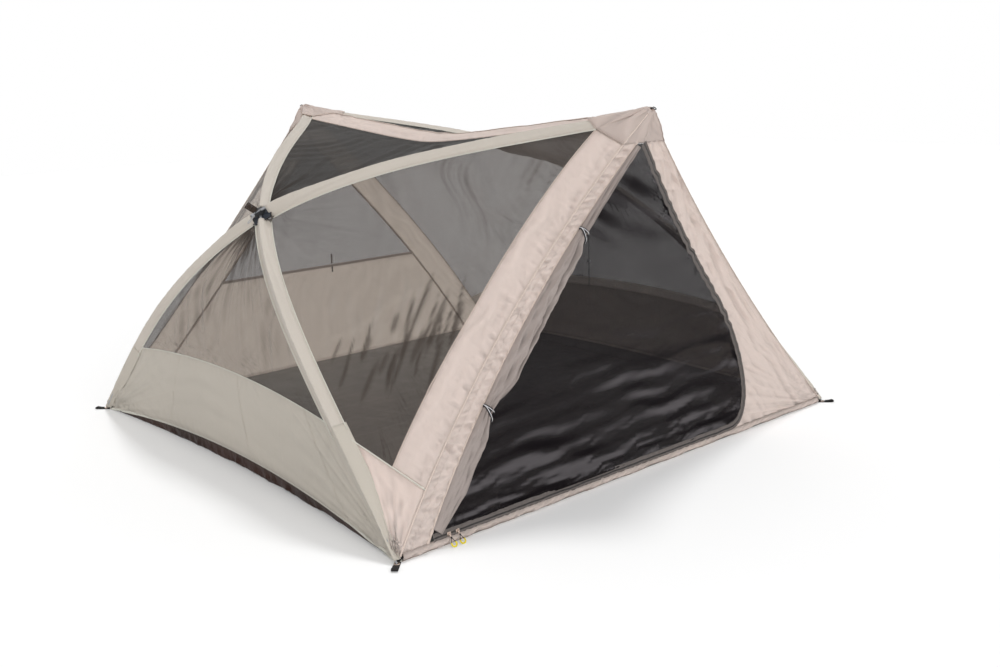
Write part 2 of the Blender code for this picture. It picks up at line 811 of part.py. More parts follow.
def make_elbow(end, name):
    """Peak elbow with the eyelet that hangs out of the mouth of the peak cap."""
    points = elbow_path()
    bend = points[len(points) // 2]
    nose = PEAK + Vector((0, -CAP_NOSE, CAP_LIFT))
    outward = (nose - bend).normalized()
    neck_end = nose + outward * 0.002
    droop = Vector((0, -0.8, -0.6))
    bar = as_mesh(tube("bar", [flip(p, LEFT, end) for p in points], ELBOW_DIAMETER / 2, PLASTIC),
                  name, PLASTIC)
    neck = as_mesh(tube("neck", [flip(p, LEFT, end) for p in (bend, nose, neck_end)],
                        EYELET_WIRE / 2, PLASTIC), name + "_neck", PLASTIC, CUTTERS)
    ring_centre = nose + droop * EYELET_RADIUS
    ring = []
    steps = 12
    for k in range(steps):
        angle = 2 * math.pi * k / steps
        spoke = droop * math.cos(angle) + Vector((1, 0, 0)) * math.sin(angle)
        ring.append(flip(ring_centre + spoke * EYELET_RADIUS, LEFT, end))
    eyelet = as_mesh(tube("eyelet", ring, EYELET_WIRE / 2, PLASTIC, cyclic=True, resolution=1),
                     name + "_eyelet", PLASTIC, CUTTERS)
    add_cutter(bar, neck, "UNION")
    add_cutter(bar, eyelet, "UNION")


# Canopy panels

def make_side_panels():
    """Mesh panels of both side walls."""
    for side, name in ((LEFT, "left"), (RIGHT, "right")):
        panel(f"{name}_front_mesh", FRONT_ROWS, MESH, side=side)
        panel(f"{name}_rear_mesh", REAR_ROWS, MESH, side=side, end=REAR)
        panel(f"{name}_top_mesh", TOP_ROWS, MESH, side=side)
        panel(f"{name}_lower_mesh", LOW_ROWS, MESH, side=side)


def floor_row(lip_x, y, lip_z):
    """Row of the floor: drawn up to the hem at both sides, flat on the ground between."""
    edge = lip_x + 0.006
    right = [Vector((x, y, 0)) for x in (edge, edge / 2)]
    left_lip = Vector((lip_x, y, lip_z))
    middle = [Vector((0, y, 0))]
    return ([left_lip] + right + middle
            + [flip(p, RIGHT) for p in reversed(right)] + [flip(left_lip, RIGHT)])


def make_tub():
    """Two low side walls and the floor between their hems."""
    for side, name in ((LEFT, "left"), (RIGHT, "right")):
        panel(f"{name}_tub_wall", TUB_ROWS, TUB, side=side)
    on_front, _ = corner_points()
    end_row = floor_row(on_front.x, on_front.y, 2 * FLOOR_THICKNESS)
    grid = [end_row]
    for point in TUB_ROWS[-1][1:-1]:
        grid.append(floor_row(point.x, point.y, max(point.z - SEAM_GAP, 2 * FLOOR_THICKNESS)))
    grid.append([flip(p, LEFT, REAR) for p in end_row])
    panel("floor", grid, FLOOR, thickness=FLOOR_THICKNESS, inward=True)


def make_ridge():
    """Solid band along the ridge, between the two peak caps."""
    edge = upper_skin(UPPER_STATIONS[0])
    top = ridge_end()
    columns = 10
    rows = []
    for share in (0, 0.5, 1):
        end = mix(edge, top, share)
        rows.append([roof_point(end, 2 * k / columns - 1) for k in range(columns + 1)])
    for share in (0.5, 0):
        end = mix(edge, top, share)
        rows.append([flip(roof_point(end, 2 * k / columns - 1), RIGHT)
                     for k in range(columns + 1)])
    panel("ridge_band", rows, CANOPY)


def pole_bump(t, width):
    """Three points across a pole at t: the cap's foot, its crest and its other foot."""
    along, out = tangent(upper_line, t), upper_normal(t)
    across = along.cross(out).normalized()
    if across.z > 0:
        across.negate()
    skin = upper_skin(t)
    return skin + across * width, upper_line(t) + out * CAP_LIFT, skin - across * width


def cap_rings():
    """Rings of the left half of a peak cap: its mouth, its middle and its rim."""
    nose = PEAK + Vector((0, -CAP_NOSE, CAP_LIFT))
    face = Vector((0, wall_depth(CAP_HEIGHT), CAP_HEIGHT))
    start, top = POLE_SIDE[0], ridge_end()
    low_foot = start + (SEAM_EDGE[0] - start).normalized() * CAP_FOOT
    high_foot = start + (top - start).normalized() * CAP_FOOT
    t = UPPER_STATIONS[0]
    crest = upper_line(t) + upper_normal(t) * CAP_LIFT
    rim = [face, SEAM_EDGE[0], BAND_EDGE[0], low_foot, crest, high_foot,
           mix(high_foot, top, 0.5), top]
    middle = [mix(nose, p, 0.5) for p in rim]
    half_t = stations(upper_line, CAP_REACH / 2, 0, 1)[0]
    middle[3:6] = pole_bump(half_t, CAP_FOOT)
    mouth = [nose + (p - nose).normalized() * CAP_MOUTH for p in middle]
    return mouth, middle, rim


def make_cap(name, end):
    """Cap over a peak: it covers the elbow and joins walls, sides and ridge."""
    grid = []
    for ring in cap_rings():
        right = [flip(p, RIGHT) for p in reversed(ring[1:-1])]
        grid.append(ring + right + [ring[0]])
    panel(name, grid, CANOPY, end=end)
    seal_ring(bpy.data.objects[name])


def seal_ring(item):
    """Weld the first and last column of a grid that closes on itself."""
    bm = bmesh.new()
    bm.from_mesh(item.data)
    bmesh.ops.remove_doubles(bm, verts=bm.verts, dist=4 * SEAM_GAP)
    bm.to_mesh(item.data)
    bm.free()


def zip_x(z):
    """Where the zip runs at a height on the front wall."""
    top_x, top_z = ZIP_TOP
    shoulder_x, shoulder_z = ZIP_SHOULDER
    if z >= shoulder_z:
        return mix(shoulder_x, top_x, (z - shoulder_z) / (top_z - shoulder_z))
    points = (Vector((shoulder_x, shoulder_z)), Vector((ZIP_BULGE, ZIP_BULGE_HEIGHT)),
              Vector((ZIP_BULGE, SILL_HEIGHT)), Vector((ZIP_FOOT, SILL_HEIGHT)))
    low, high = 0.0, 1.0
    for _ in range(30):
        t = (low + high) / 2
        if bezier(*points, t).y > z:
            low = t
        else:
            high = t
    return bezier(*points, (low + high) / 2).x


def zip_path():
    """Middle of the zip as x and z, from the top of the door to the foot of its curve."""
    heights = [seam_point(u).z for u in FRONT_VALUES]
    heights[0] = CAP_HEIGHT - 2 * ZIP_HALF_WIDTH
    heights[-1] = SILL_HEIGHT
    return [Vector((zip_x(z), z)) for z in heights]


def offset_path(path, distance):
    """Path moved sideways, away from the door where distance is positive."""
    moved = []
    for k, point in enumerate(path):
        along = path[min(k + 1, len(path) - 1)] - path[max(k - 1, 0)]
        if k == len(path) - 1:
            along = Vector((-1, 0))
        along.normalize()
        moved.append(point + Vector((-along.y, along.x)) * distance)
    return moved


def on_wall(x, z):
    """Point of the front wall."""
    return Vector((x, wall_depth(z), z))


def make_front():
    """Solid fabric of the front wall, with the bands that wrap round to the sides."""
    left_rows, right_rows = [], []
    frame_side = offset_path(zip_path(), ZIP_HALF_WIDTH)
    for k, u in enumerate(FRONT_VALUES):
        seam = seam_point(u)
        inner = BAND_EDGE[k] if k < len(BAND_EDGE) else None
        edge = seam + Vector((front_band_width(u), 0, 0))
        left_rows.append([inner, seam, edge])
        zip_edge = frame_side[k]
        outer = Vector((-zip_edge.x, wall_depth(zip_edge.y), zip_edge.y))
        right_rows.append([inner, seam, mix(seam, outer, 0.5), outer])
    panel("front_left_band", left_rows, CANOPY)
    panel("front_right_panel", right_rows, CANOPY, side=RIGHT)
    on_front, _ = corner_points()
    foot, top = [], []
    columns = 10
    edge = seam_point(SILL_VALUE)
    for k in range(columns + 1):
        share = 2 * k / columns - 1
        foot.append(Vector((-on_front.x * share, on_front.y, 0)))
        height = SILL_HEIGHT - ZIP_HALF_WIDTH
        top.append(Vector((-edge.x * share, wall_depth(height), height)))
    panel("front_sill", [foot, top], CANOPY)


def make_rear():
    """Rear wall: two solid bands, a solid lower panel and a mesh window."""
    on_front, _ = corner_points()
    rows = []
    for u in FRONT_VALUES:
        seam = seam_point(u)
        rows.append([seam, Vector((min(seam.x + REAR_BAND_WIDTH, 0), seam.y, seam.z))])
    rows.append([on_front, on_front + Vector((REAR_BAND_WIDTH, 0, 0))])
    for side, name in ((LEFT, "left"), (RIGHT, "right")):
        panel(f"rear_{name}_band", rows, CANOPY, side=side, end=REAR)
    edges = [row[1] for row in rows]
    top_z = REAR_PANEL_HEIGHT
    window = [p for p in edges if p.z > top_z and p.x < -0.012]
    lower = [p for p in edges if p.z <= top_z]
    split_u = seam_at_height(top_z)
    split = seam_point(split_u) + Vector((REAR_BAND_WIDTH, 0, 0))
    for name, line, material in (("rear_window_mesh", window + [split], MESH),
                                 ("rear_lower_panel", [split] + lower, CANOPY)):
        grid = [[Vector((p.x * (1 - k / 4), p.y, p.z)) for k in range(9)] for p in line]
        panel(name, grid, material, end=REAR)


# Door, zip, storm flap and what hangs on them

def door_axis():
    """Lowest and highest point of the straight line about which the door swings."""
    return door_edge(SILL_HEIGHT + ZIP_HALF_WIDTH), door_edge(CAP_HEIGHT)


def fold_offset(z):
    """How far from the sewn edge, along x, the door starts to swing at a height.

    The sewn edge is bowed in, so the strip beside it cannot follow a straight hinge.
    """
    low, high = door_axis()
    share = (z - low.z) / (high.z - low.z)
    bow = max(wall_depth(z) - mix(low.y, high.y, share), 0)
    slope = (high - low).normalized()
    return (bow * math.tan(DOOR_SWING / 2) + DOOR_MARGIN) / slope.z


def make_door():
    """Mesh door, the fixed margin beside its sewn edge, and the two halves of its zip."""
    path = zip_path()
    door_side = offset_path(path, -ZIP_HALF_WIDTH)
    door_rows, margin_rows = [], []
    for point in door_side:
        z = point.y
        edge = door_edge(z)
        fold = min(edge.x + fold_offset(z), point.x - 0.012)
        start = on_wall(fold, z)
        finish = on_wall(point.x, z)
        door_rows.append([mix(start, finish, k / 6) for k in range(7)])
        margin_rows.append([edge, mix(edge, start, 0.5), start])
    panel("mesh_door", door_rows, MESH)
    panel("mesh_door_margin", margin_rows, MESH)
    left_end = door_edge(SILL_HEIGHT).x + DOOR_MARGIN
    bottom = [Vector((mix(ZIP_FOOT, left_end, k / 6), SILL_HEIGHT)) for k in range(1, 7)]
    whole = path + bottom
    for name, near, far in (("zip_frame_half", 0, ZIP_HALF_WIDTH),
                            ("zip_door_half", -ZIP_HALF_WIDTH, 0)):
        lines = [offset_path(whole, near), offset_path(whole, far)]
        grid = [[on_wall(p.x, p.y) for p in line] for line in lines]
        panel(name, grid, WEBBING, thickness=ZIP_THICKNESS)


def roll_axis():
    """Direction across the rolled flap, square to the sewn edge and away from it."""
    low, high = door_axis()
    slope = (high - low).normalized()
    return Vector((slope.z, 0, -slope.x)).normalized()


def roll_shape(z):
    """Half width, half depth, gap to the wall and centre line of the flap at a height."""
    pinch = max(math.exp(-((z - tie) / 0.05) ** 2) for tie in TIE_HEIGHTS)
    taper = min((CAP_HEIGHT + 0.02 - z) / 0.25, (z - ROLL_FOOT) / 0.12 + 0.1, 1)
    width = mix(ROLL_WIDTH, ROLL_TIE_WIDTH, pinch) * mix(0.45, 1, taper)
    depth = mix(ROLL_DEPTH, ROLL_TIE_WIDTH * 0.8, pinch) * mix(0.6, 1, taper)
    gap = FABRIC + 2 * FIT + (TIE_CORD + 3 * FIT) * pinch
    start = Vector((door_edge(z).x, 0, z))
    return width / 2, depth / 2, gap, start + roll_axis() * (width / 2)


def roll_point(z, angle, swell, pleat):
    """Point of the skin of the rolled flap, which follows the bow of the wall."""
    half_width, half_depth, gap, centre = roll_shape(z)
    point = centre + roll_axis() * ((half_width + swell) * math.cos(angle) * pleat)
    depth = (half_depth + swell) * math.sin(angle) * pleat
    point.y = wall_depth(point.z) - gap - half_depth + depth
    return point


def roll_ring(z, swell=0.0, pleats=ROLL_PLEATS, count=16):
    """Ring round the rolled storm flap."""
    ring = []
    for k in range(count):
        angle = 2 * math.pi * k / count
        pleat = 0.9 + 0.1 * math.cos(pleats * angle + 9 * z) if pleats else 1
        ring.append(roll_point(z, angle, swell, pleat))
    return ring


def make_storm_flap():
    """Storm flap rolled up along the sewn edge of the door, and its two ties."""
    low_z, high_z = ROLL_FOOT, CAP_HEIGHT - 0.02
    steps = 12
    heights = [mix(low_z, high_z, k / steps) for k in range(steps + 1)]
    heights = [z for z in heights if min(abs(z - tie) for tie in TIE_HEIGHTS) > 0.06]
    heights += [tie + gap for tie in TIE_HEIGHTS for gap in (-0.05, -0.02, 0, 0.02, 0.05)]
    loft("storm_flap_roll", [roll_ring(z) for z in sorted(heights)], CANOPY)
    for z, name in zip(TIE_HEIGHTS, ("upper", "lower")):
        ring = roll_ring(z, swell=TIE_CORD / 2 + 2 * FIT, pleats=0)
        cord = tube("tie", ring, TIE_CORD / 2, WEBBING, cyclic=True)
        as_mesh(cord, f"storm_flap_tie_{name}", WEBBING)


def tail_start():
    """Where the tail cord hangs from the upper tie."""
    side = roll_point(TIE_HEIGHTS[0], 0, TIE_CORD / 2 + 2 * FIT, 1)
    return side - Vector((0, 0, TIE_CORD / 2 + FIT))


def make_tail():
    """Tail of the upper tie with the bead that slides on it."""
    start = tail_start()
    points = [start - Vector((0, 0, TAIL_LENGTH * k / 16)) for k in range(17)]
    tube("tie_tail_cord", points, TAIL_CORD / 2, WEBBING)
    centre = start - Vector((0, 0, BEAD_DROP))
    bm = bmesh.new()
    bmesh.ops.create_uvsphere(bm, u_segments=12, v_segments=8, radius=BEAD_DIAMETER / 2)
    bmesh.ops.translate(bm, vec=centre, verts=bm.verts)
    bead = finish_mesh("tie_tail_bead", bm, PLASTIC)
    bead.data.shade_smooth()
    bm = bmesh.new()
    bmesh.ops.create_cone(bm, cap_ends=True, segments=10, radius1=TAIL_CORD / 2 + FIT,
                          radius2=TAIL_CORD / 2 + FIT, depth=2 * BEAD_DIAMETER)
    bmesh.ops.translate(bm, vec=centre, verts=bm.verts)
    add_cutter(bead, finish_mesh("bead_bore", bm, PLASTIC, CUTTERS))


def slider_frame(parking):
    """Placement of a slider: x along the zip, y out of the wall, z up along the wall."""
    x = door_edge(SILL_HEIGHT).x + parking
    step = 0.004
    up = (on_wall(x, SILL_HEIGHT + step) - on_wall(x, SILL_HEIGHT - step)).normalized()
    out = up.cross(Vector((1, 0, 0))).normalized()
    if out.y > 0:
        out.negate()
    matrix = Matrix((Vector((-1, 0, 0)), out, up)).transposed().to_4x4()
    matrix.translation = on_wall(x, SILL_HEIGHT)
    return matrix


def make_slider(name, pull_name, parking):
    """Slider of the door zip at its parking place, with its cord pull."""
    place = slider_frame(parking)
    face = ZIP_THICKNESS + 2 * FIT
    bm = bmesh.new()
    bmesh.ops.create_cube(bm, size=1)
    bmesh.ops.scale(bm, vec=(SLIDER_LENGTH, SLIDER_PLATE, SLIDER_WIDTH), verts=bm.verts)
    bmesh.ops.bevel(bm, geom=bm.edges[:], offset=0.0007, segments=1, affect="EDGES")
    bmesh.ops.translate(bm, vec=(0, face + SLIDER_PLATE / 2, 0), verts=bm.verts)
    bm.transform(place)
    plate = finish_mesh(name, bm, METAL)
    top = face + SLIDER_PLATE
    wire = 0.0014
    rise = PULL_CORD + 2 * FIT + wire / 2
    span = 0.0032
    steps = 8
    arch = [Vector((0, top - wire, span))]
    for k in range(1, steps):
        angle = math.pi * k / steps
        arch.append(Vector((0, top + rise * math.sin(angle) ** 0.6, span * math.cos(angle))))
    arch.append(Vector((0, top - wire, -span)))
    bridge = as_mesh(tube("bridge", [place @ p for p in arch], wire / 2, METAL),
                     name + "_bridge", METAL, CUTTERS)
    add_cutter(plate, bridge, "UNION")
    pivot = place @ Vector((0, top + FIT + PULL_CORD / 2, 0))
    drop = pivot.z - PULL_CORD / 2 - 0.0012
    down = Vector((0, -math.sqrt(PULL_LENGTH ** 2 - drop ** 2), -drop)) / PULL_LENGTH
    half_bar, half_wide = 0.0034, PULL_WIDTH / 2
    loop = [(half_bar, 0)]
    for share in (0.2, 0.5, 0.8):
        loop.append((mix(half_bar, half_wide, share), PULL_LENGTH * share))
    arc = half_wide * 0.9
    for angle in (20, 50, 78):
        turn = math.radians(angle)
        loop.append((half_wide * math.cos(turn), PULL_LENGTH - arc + arc * math.sin(turn)))
    mirrored = [(-w, d) for w, d in reversed(loop)]
    points = [pivot + Vector((w, 0, 0)) + down * d for w, d in loop + mirrored]
    cord = tube("pull", points, PULL_CORD / 2, WEBBING, cyclic=True, resolution=1)
    as_mesh(cord, pull_name, WEBBING)


def make_rear_toggle():
    """Toggle on the inner face of the rear wall, at the foot of its window."""
    hinge = flip(on_wall(-0.045, REAR_PANEL_HEIGHT), RIGHT, REAR)
    top = Vector((hinge.x, hinge.y - TOGGLE_DIAMETER / 2 - FIT, REAR_PANEL_HEIGHT - 0.004))
    profile = ((0, 0), (0.4, 0.0), (0.5, 0.06), (0.4, 0.12), (0.16, 0.16), (0.34, 0.24),
               (0.5, 0.32), (0.36, 0.62), (0.5, 0.92), (0.3, 1.0), (0, 1.0))
    mesh = bpy.data.meshes.new("rear_toggle")
    bm = bmesh.new()
    verts = [bm.verts.new((TOGGLE_DIAMETER * r, 0, -TOGGLE_LENGTH * d)) for r, d in profile]
    for a, b in zip(verts, verts[1:]):
        bm.edges.new((a, b))
    bm.to_mesh(mesh)
    bm.free()
    toggle = link("rear_toggle", mesh, PLASTIC)
    toggle.location = top
    screw = toggle.modifiers.new("turn", "SCREW")
    screw.steps = 10
    screw.render_steps = 10
    screw.use_merge_vertices = True
    screw.merge_threshold = 0.0001
    return toggle


# Crossings and corners

def crossing_frame(side):
    """Centre and directions at a crossing: along the outer pole, the inner pole and out."""
    outer = flip(CHORD, side)
    inner = flip(CHORD_MIRROR, side)
    return flip(CROSS_CENTRE, side), outer, inner, flip(CROSS_NORMAL, side)


def bore(centre, direction, radius, length, name):
    """Round cutter along a direction."""
    bm = bmesh.new()
    bmesh.ops.create_cone(bm, cap_ends=True, segments=16, radius1=radius, radius2=radius,
                          depth=length)
    bmesh.ops.transform(bm, matrix=frame_matrix(centre, direction.orthogonal(), direction),
                        verts=bm.verts)
    return finish_mesh(name, bm, PLASTIC, CUTTERS)


def make_crossing(side, name):
    """Patch under a crossing and the clip that grips both poles."""
    centre, outer, inner, out = crossing_frame(side)
    down = (outer + inner).normalized()
    reach = PATCH_HALF - 5 * SEAM_GAP
    place = frame_matrix(centre - out * (SKIN_DROP + 2 * SEAM_GAP - PATCH_THICKNESS / 2),
                         down, out)
    turn = place.to_3x3().inverted()
    corners = [turn @ (spoke * reach) for spoke in (outer, inner, -outer, -inner)]
    flat_outline(f"{name}_crossing_patch", [[(c.x, c.y) for c in corners]],
                 PATCH_THICKNESS, WEBBING, place)
    radius = POLE_DIAMETER / 2 + FIT
    low, high = -CLIP_LIP, CLIP_STEP + CLIP_LIP
    half = CLIP_WIDTH / 2
    outline = rounded_rectangle((-half, -half * 0.8), (half, half * 0.8), half * 0.45)
    clip_place = frame_matrix(centre + out * (low + high) / 2, down, out)
    clip = flat_outline(f"{name}_crossing_clip", [outline], high - low, PLASTIC, clip_place)
    add_cutter(clip, bore(centre, inner, radius, 2 * CLIP_WIDTH, f"{name}_inner_channel"))
    add_cutter(clip, bore(centre + out * CLIP_STEP, outer, radius, 2 * CLIP_WIDTH,
                          f"{name}_outer_channel"))


def make_fly_tab(side, name):
    """Webbing tab for the rain cover, hinged on the rear edge of the clip."""
    centre, outer, inner, out = crossing_frame(side)
    down = (outer + inner).normalized()
    rearward = (outer - inner).normalized()
    lean = rearward * math.cos(TAB_RISE) + out * math.sin(TAB_RISE)
    reach = CLIP_WIDTH * 0.4 + FIT + TAB_THICKNESS / 2 * math.sin(TAB_RISE)
    hinge = centre + rearward * reach + out * CLIP_STEP / 2
    place = frame_matrix(hinge, lean, lean.cross(down))
    neck, half = TAB_NECK_WIDTH / 2, TAB_WIDTH / 2
    shoulder = TAB_NECK_LENGTH + half - neck
    outline = [(0, -neck), (TAB_NECK_LENGTH, -neck), (shoulder, -half), (TAB_LENGTH, -half),
               (TAB_LENGTH, half), (shoulder, half), (TAB_NECK_LENGTH, neck), (0, neck)]
    flat_outline(f"{name}_fly_tab", [outline], TAB_THICKNESS, WEBBING, place)


def make_corner(side, end, name):
    """Corner webbing with the grommet for the pole tip and the loop for a peg."""
    centre = flip(CORNER, side, end)
    outward = Vector((side, end, 0)).normalized()
    place = frame_matrix(centre + Vector((0, 0, WEBBING_THICKNESS / 2)), outward, Vector((0, 0, 1)))
    start = FABRIC + FIT - (CORNER_CUT + 2 * SKIN_DROP) / math.sqrt(2)
    edge = rounded_rectangle((start, -WEBBING_WIDTH / 2),
                             (WEBBING_LENGTH, WEBBING_WIDTH / 2), 0.005)
    grommet = circle((0, 0), GROMMET_HOLE / 2, 12)
    slot = rounded_rectangle((0.018, -0.0075), (0.038, 0.0075), 0.004)
    flat_outline(name, [edge, grommet, slot], WEBBING_THICKNESS, WEBBING, place)


def main():
    """Build the whole tent."""
    make_tub()
    make_side_panels()
    make_ridge()
    make_front()
    make_rear()
    make_cap("front_peak_cap", FRONT)
    make_cap("rear_peak_cap", REAR)
    make_poles()
    make_elbow(FRONT, "front_pole_elbow")
    make_elbow(REAR, "rear_pole_elbow")
    make_sleeves()
    make_door()
    make_storm_flap()
    make_tail()
    make_slider("zip_slider_left", "zip_pull_left", SLIDER_PARKING[0])
    make_slider("zip_slider_right", "zip_pull_right", SLIDER_PARKING[1])
    make_rear_toggle()
    for side, side_name in ((LEFT, "left"), (RIGHT, "right")):
        make_crossing(side, side_name)
        make_fly_tab(side, side_name)
        for end, end_name in ((FRONT, "front"), (REAR, "rear")):
            make_corner(side, end, f"{end_name}_{side_name}_webbing")


main()
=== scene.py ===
"""Looks of the two-peak tent: its cloth, netting, zip, cords and studio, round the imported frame.

The frame has x across the door, y from the door to the rear and z up. Curves are drawn for the
left front quarter, where x and y are negative, and mirrored to the other quarters.
"""
from __future__ import annotations

import logging
import math
from dataclasses import dataclass, field
from enum import Enum
from functools import cached_property
from typing import Sequence

import bmesh
import bpy
import numpy as np
from mathutils import Matrix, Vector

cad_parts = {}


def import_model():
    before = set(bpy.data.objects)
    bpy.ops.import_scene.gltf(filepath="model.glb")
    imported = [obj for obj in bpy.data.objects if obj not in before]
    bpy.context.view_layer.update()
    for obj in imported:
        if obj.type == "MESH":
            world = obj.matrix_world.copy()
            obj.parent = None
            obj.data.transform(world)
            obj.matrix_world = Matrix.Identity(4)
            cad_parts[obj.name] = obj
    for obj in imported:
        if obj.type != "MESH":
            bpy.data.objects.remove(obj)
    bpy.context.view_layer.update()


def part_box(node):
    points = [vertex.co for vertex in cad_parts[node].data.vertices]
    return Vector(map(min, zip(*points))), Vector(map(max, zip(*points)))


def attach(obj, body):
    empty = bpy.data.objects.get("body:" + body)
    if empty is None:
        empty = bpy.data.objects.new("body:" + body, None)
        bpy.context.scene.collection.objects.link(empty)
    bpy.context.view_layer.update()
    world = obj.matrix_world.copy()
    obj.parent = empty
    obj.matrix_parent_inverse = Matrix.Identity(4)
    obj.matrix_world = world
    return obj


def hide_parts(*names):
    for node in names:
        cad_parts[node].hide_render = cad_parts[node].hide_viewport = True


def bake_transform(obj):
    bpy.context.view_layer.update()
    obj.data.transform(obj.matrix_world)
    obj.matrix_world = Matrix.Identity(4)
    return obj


LOG = logging.getLogger("tent")
Array = np.ndarray
Triple = tuple[float, float, float]
INSIDE = np.array((0.0, 0.0, 0.4))
UP = np.array((0.0, 0.0, 1.0))
POLES = ("front_pole_left_half", "front_pole_right_half", "rear_pole_left_half",
         "rear_pole_right_half")
CLOTH_THICKNESS = 0.0005
THREAD_THICKNESS = 0.0007
STITCH_SHARE = 0.7
# Depth at which a fold's valley gets its full painted shade, and the most painted shade it may get.
DARK_VALLEY = 0.0035
DARKEST_VALLEY = 1.4
# Width over which cloth is made darker near its borders, where the seams lie.
SEAM_DARK_WIDTH = 0.010
ONE_BAND_PER_METRE = 0.3142
RIBBON_SIDES = 8


class Place(Enum):
    """Place on the tent, whose name is a part of the pieces' names."""

    @property
    def word(self) -> str:
        """Name in small letters."""
        return self.name.lower()


class Side(Place):
    """Left or right half of the tent, seen from the door."""

    LEFT = -1
    RIGHT = 1


class End(Place):
    """Door end or rear end of the tent."""

    FRONT = -1
    REAR = 1


class Edge(Enum):
    """Border of a sheet's grid."""

    FIRST_ROW = 0
    LAST_ROW = 1
    FIRST_COLUMN = 2
    LAST_COLUMN = 3


# Numbers and curves

def point(x: float, y: float, z: float) -> Array:
    """Point or direction in the row frame."""
    return np.array((x, y, z), float)


def mix(a: Array | float, b: Array | float, t: Array | float) -> Array | float:
    """Value that lies the share t of the way from a to b."""
    return a + (b - a) * t


def unit(v: Array) -> Array:
    """Vectors scaled to length one along the last axis."""
    return v / np.maximum(np.linalg.norm(v, axis=-1, keepdims=True), 1e-12)


def rise(x: Array | float, start: float = 0.0, end: float = 1.0) -> Array:
    """Smooth step from 0 at start to 1 at end."""
    t = np.clip((np.asarray(x, float) - start) / (end - start), 0, 1)
    return t * t * (3 - 2 * t)


def mirrored(points: Array, side: Side = Side.LEFT, end: End = End.FRONT) -> Array:
    """Points of the left front quarter moved to another quarter."""
    return points * np.array((-side.value, -end.value, 1.0))


def bezier(corners: Sequence[Array], t: Array | float) -> Array:
    """Points of a cubic curve.

    Args:
        corners: Its four control points.
        t: Value or values from 0 to 1.

    Returns:
        One point for each value.
    """
    t = np.asarray(t, float)[..., None]
    s = 1 - t
    a, b, c, d = corners
    return a * s ** 3 + 3 * b * t * s ** 2 + 3 * c * t ** 2 * s + d * t ** 3


def run_of(points: Array) -> Array:
    """Distance along a line at each of its points."""
    steps = np.linalg.norm(np.diff(points, axis=0), axis=-1)
    return np.concatenate(([0.0], np.cumsum(steps)))


def headings(line: Array) -> Array:
    """Direction of a line at each of its points."""
    if len(line) > 2:
        return unit(np.gradient(line, axis=0))
    return unit(np.repeat(line[1:] - line[:1], 2, axis=0))


def everywhere(direction: Array, line: Array) -> Array:
    """One direction, given for each point of a line."""
    return np.repeat(direction[None], len(line), axis=0)


def read_at(places: Array, run: Array, values: Array) -> Array:
    """Rows of values read at places between those where they are known."""
    return np.stack([np.interp(places, run, column) for column in values.T], axis=1)


def smooth_at(points: Array, at: Array, query: Array) -> Array:
    """Smooth curve through rows of values.

    Args:
        points: Values, with the rows along the first axis.
        at: Place of each row.
        query: Places wanted.

    Returns:
        The values at the places wanted.
    """
    if len(points) == 2:
        slope = np.repeat((points[1:] - points[:1]) / (at[1] - at[0]), 2, axis=0)
    else:
        slope = np.gradient(points, at, axis=0, edge_order=2)
    k = np.clip(np.searchsorted(at, query, side="right") - 1, 0, len(at) - 2)
    shape = (-1,) + (1,) * (points.ndim - 1)
    h = (at[k + 1] - at[k]).reshape(shape)
    t = ((query - at[k]).reshape(shape)) / h
    return (points[k] * (2 * t ** 3 - 3 * t ** 2 + 1) + slope[k] * h * (t ** 3 - 2 * t ** 2 + t)
            + points[k + 1] * (3 * t ** 2 - 2 * t ** 3) + slope[k + 1] * h * (t ** 3 - t ** 2))


def refined(grid: Array, step: float, breaks: Sequence[int] = ()) -> Array:
    """Finer rows through the rows of a grid, smooth between the breaks.

    Args:
        grid: Points, rows along the first axis.
        step: Wanted distance between rows.
        breaks: Rows at which the cloth may be creased.

    Returns:
        The grid with more rows.
    """
    marks = sorted({0, len(grid) - 1, *breaks})
    parts = []
    for a, b in zip(marks, marks[1:]):
        piece = grid[a:b + 1]
        gaps = np.linalg.norm(np.diff(piece, axis=0), axis=-1).reshape(len(piece) - 1, -1)
        at = np.concatenate(([0.0], np.cumsum(np.maximum(gaps.mean(axis=1), 1e-5))))
        count = max(int(math.ceil(at[-1] / step)), 1)
        fine = smooth_at(piece, at, np.linspace(0, at[-1], count + 1))
        parts.append(fine if not parts else fine[1:])
    return np.concatenate(parts)


def refined_both(grid: Array, step: float, rows: Sequence[int] = (),
                 columns: Sequence[int] = ()) -> Array:
    """Grid refined along its rows and its columns."""
    tall = refined(grid, step, rows)
    return refined(tall.transpose(1, 0, 2), step, columns).transpose(1, 0, 2)


def bent(points: Array | list, step: float, breaks: Sequence[int] = ()) -> Array:
    """Fine points on a smooth line through a few."""
    return refined(np.array(points)[:, None], step, breaks)[:, 0]


def evenly(points: Array, step: float) -> Array:
    """Points at even distances along a line."""
    run = run_of(points)
    count = max(int(round(run[-1] / step)), 1)
    return read_at(np.linspace(0, run[-1], count + 1), run, points)


def ripple(x: Array, seed: int, octaves: int = 4) -> Array:
    """Smooth irregular wave of about plus and minus one, with a wavelength near one.

    Args:
        x: Where the wave is read.
        seed: Which wave it is.
        octaves: How many finer waves are laid over the first.

    Returns:
        The height of the wave.
    """
    dice = np.random.default_rng(seed)
    total, weight = np.zeros_like(np.asarray(x, float)), 0.0
    for k in range(octaves):
        for _ in range(2):
            pace = 2 * math.pi * 1.8 ** k * dice.uniform(0.75, 1.3)
            total += np.sin(x * pace + dice.uniform(0, 2 * math.pi)) / 1.7 ** k
        weight += 1.2 / 1.7 ** k
    return total / weight


# Shape of the pitched tent

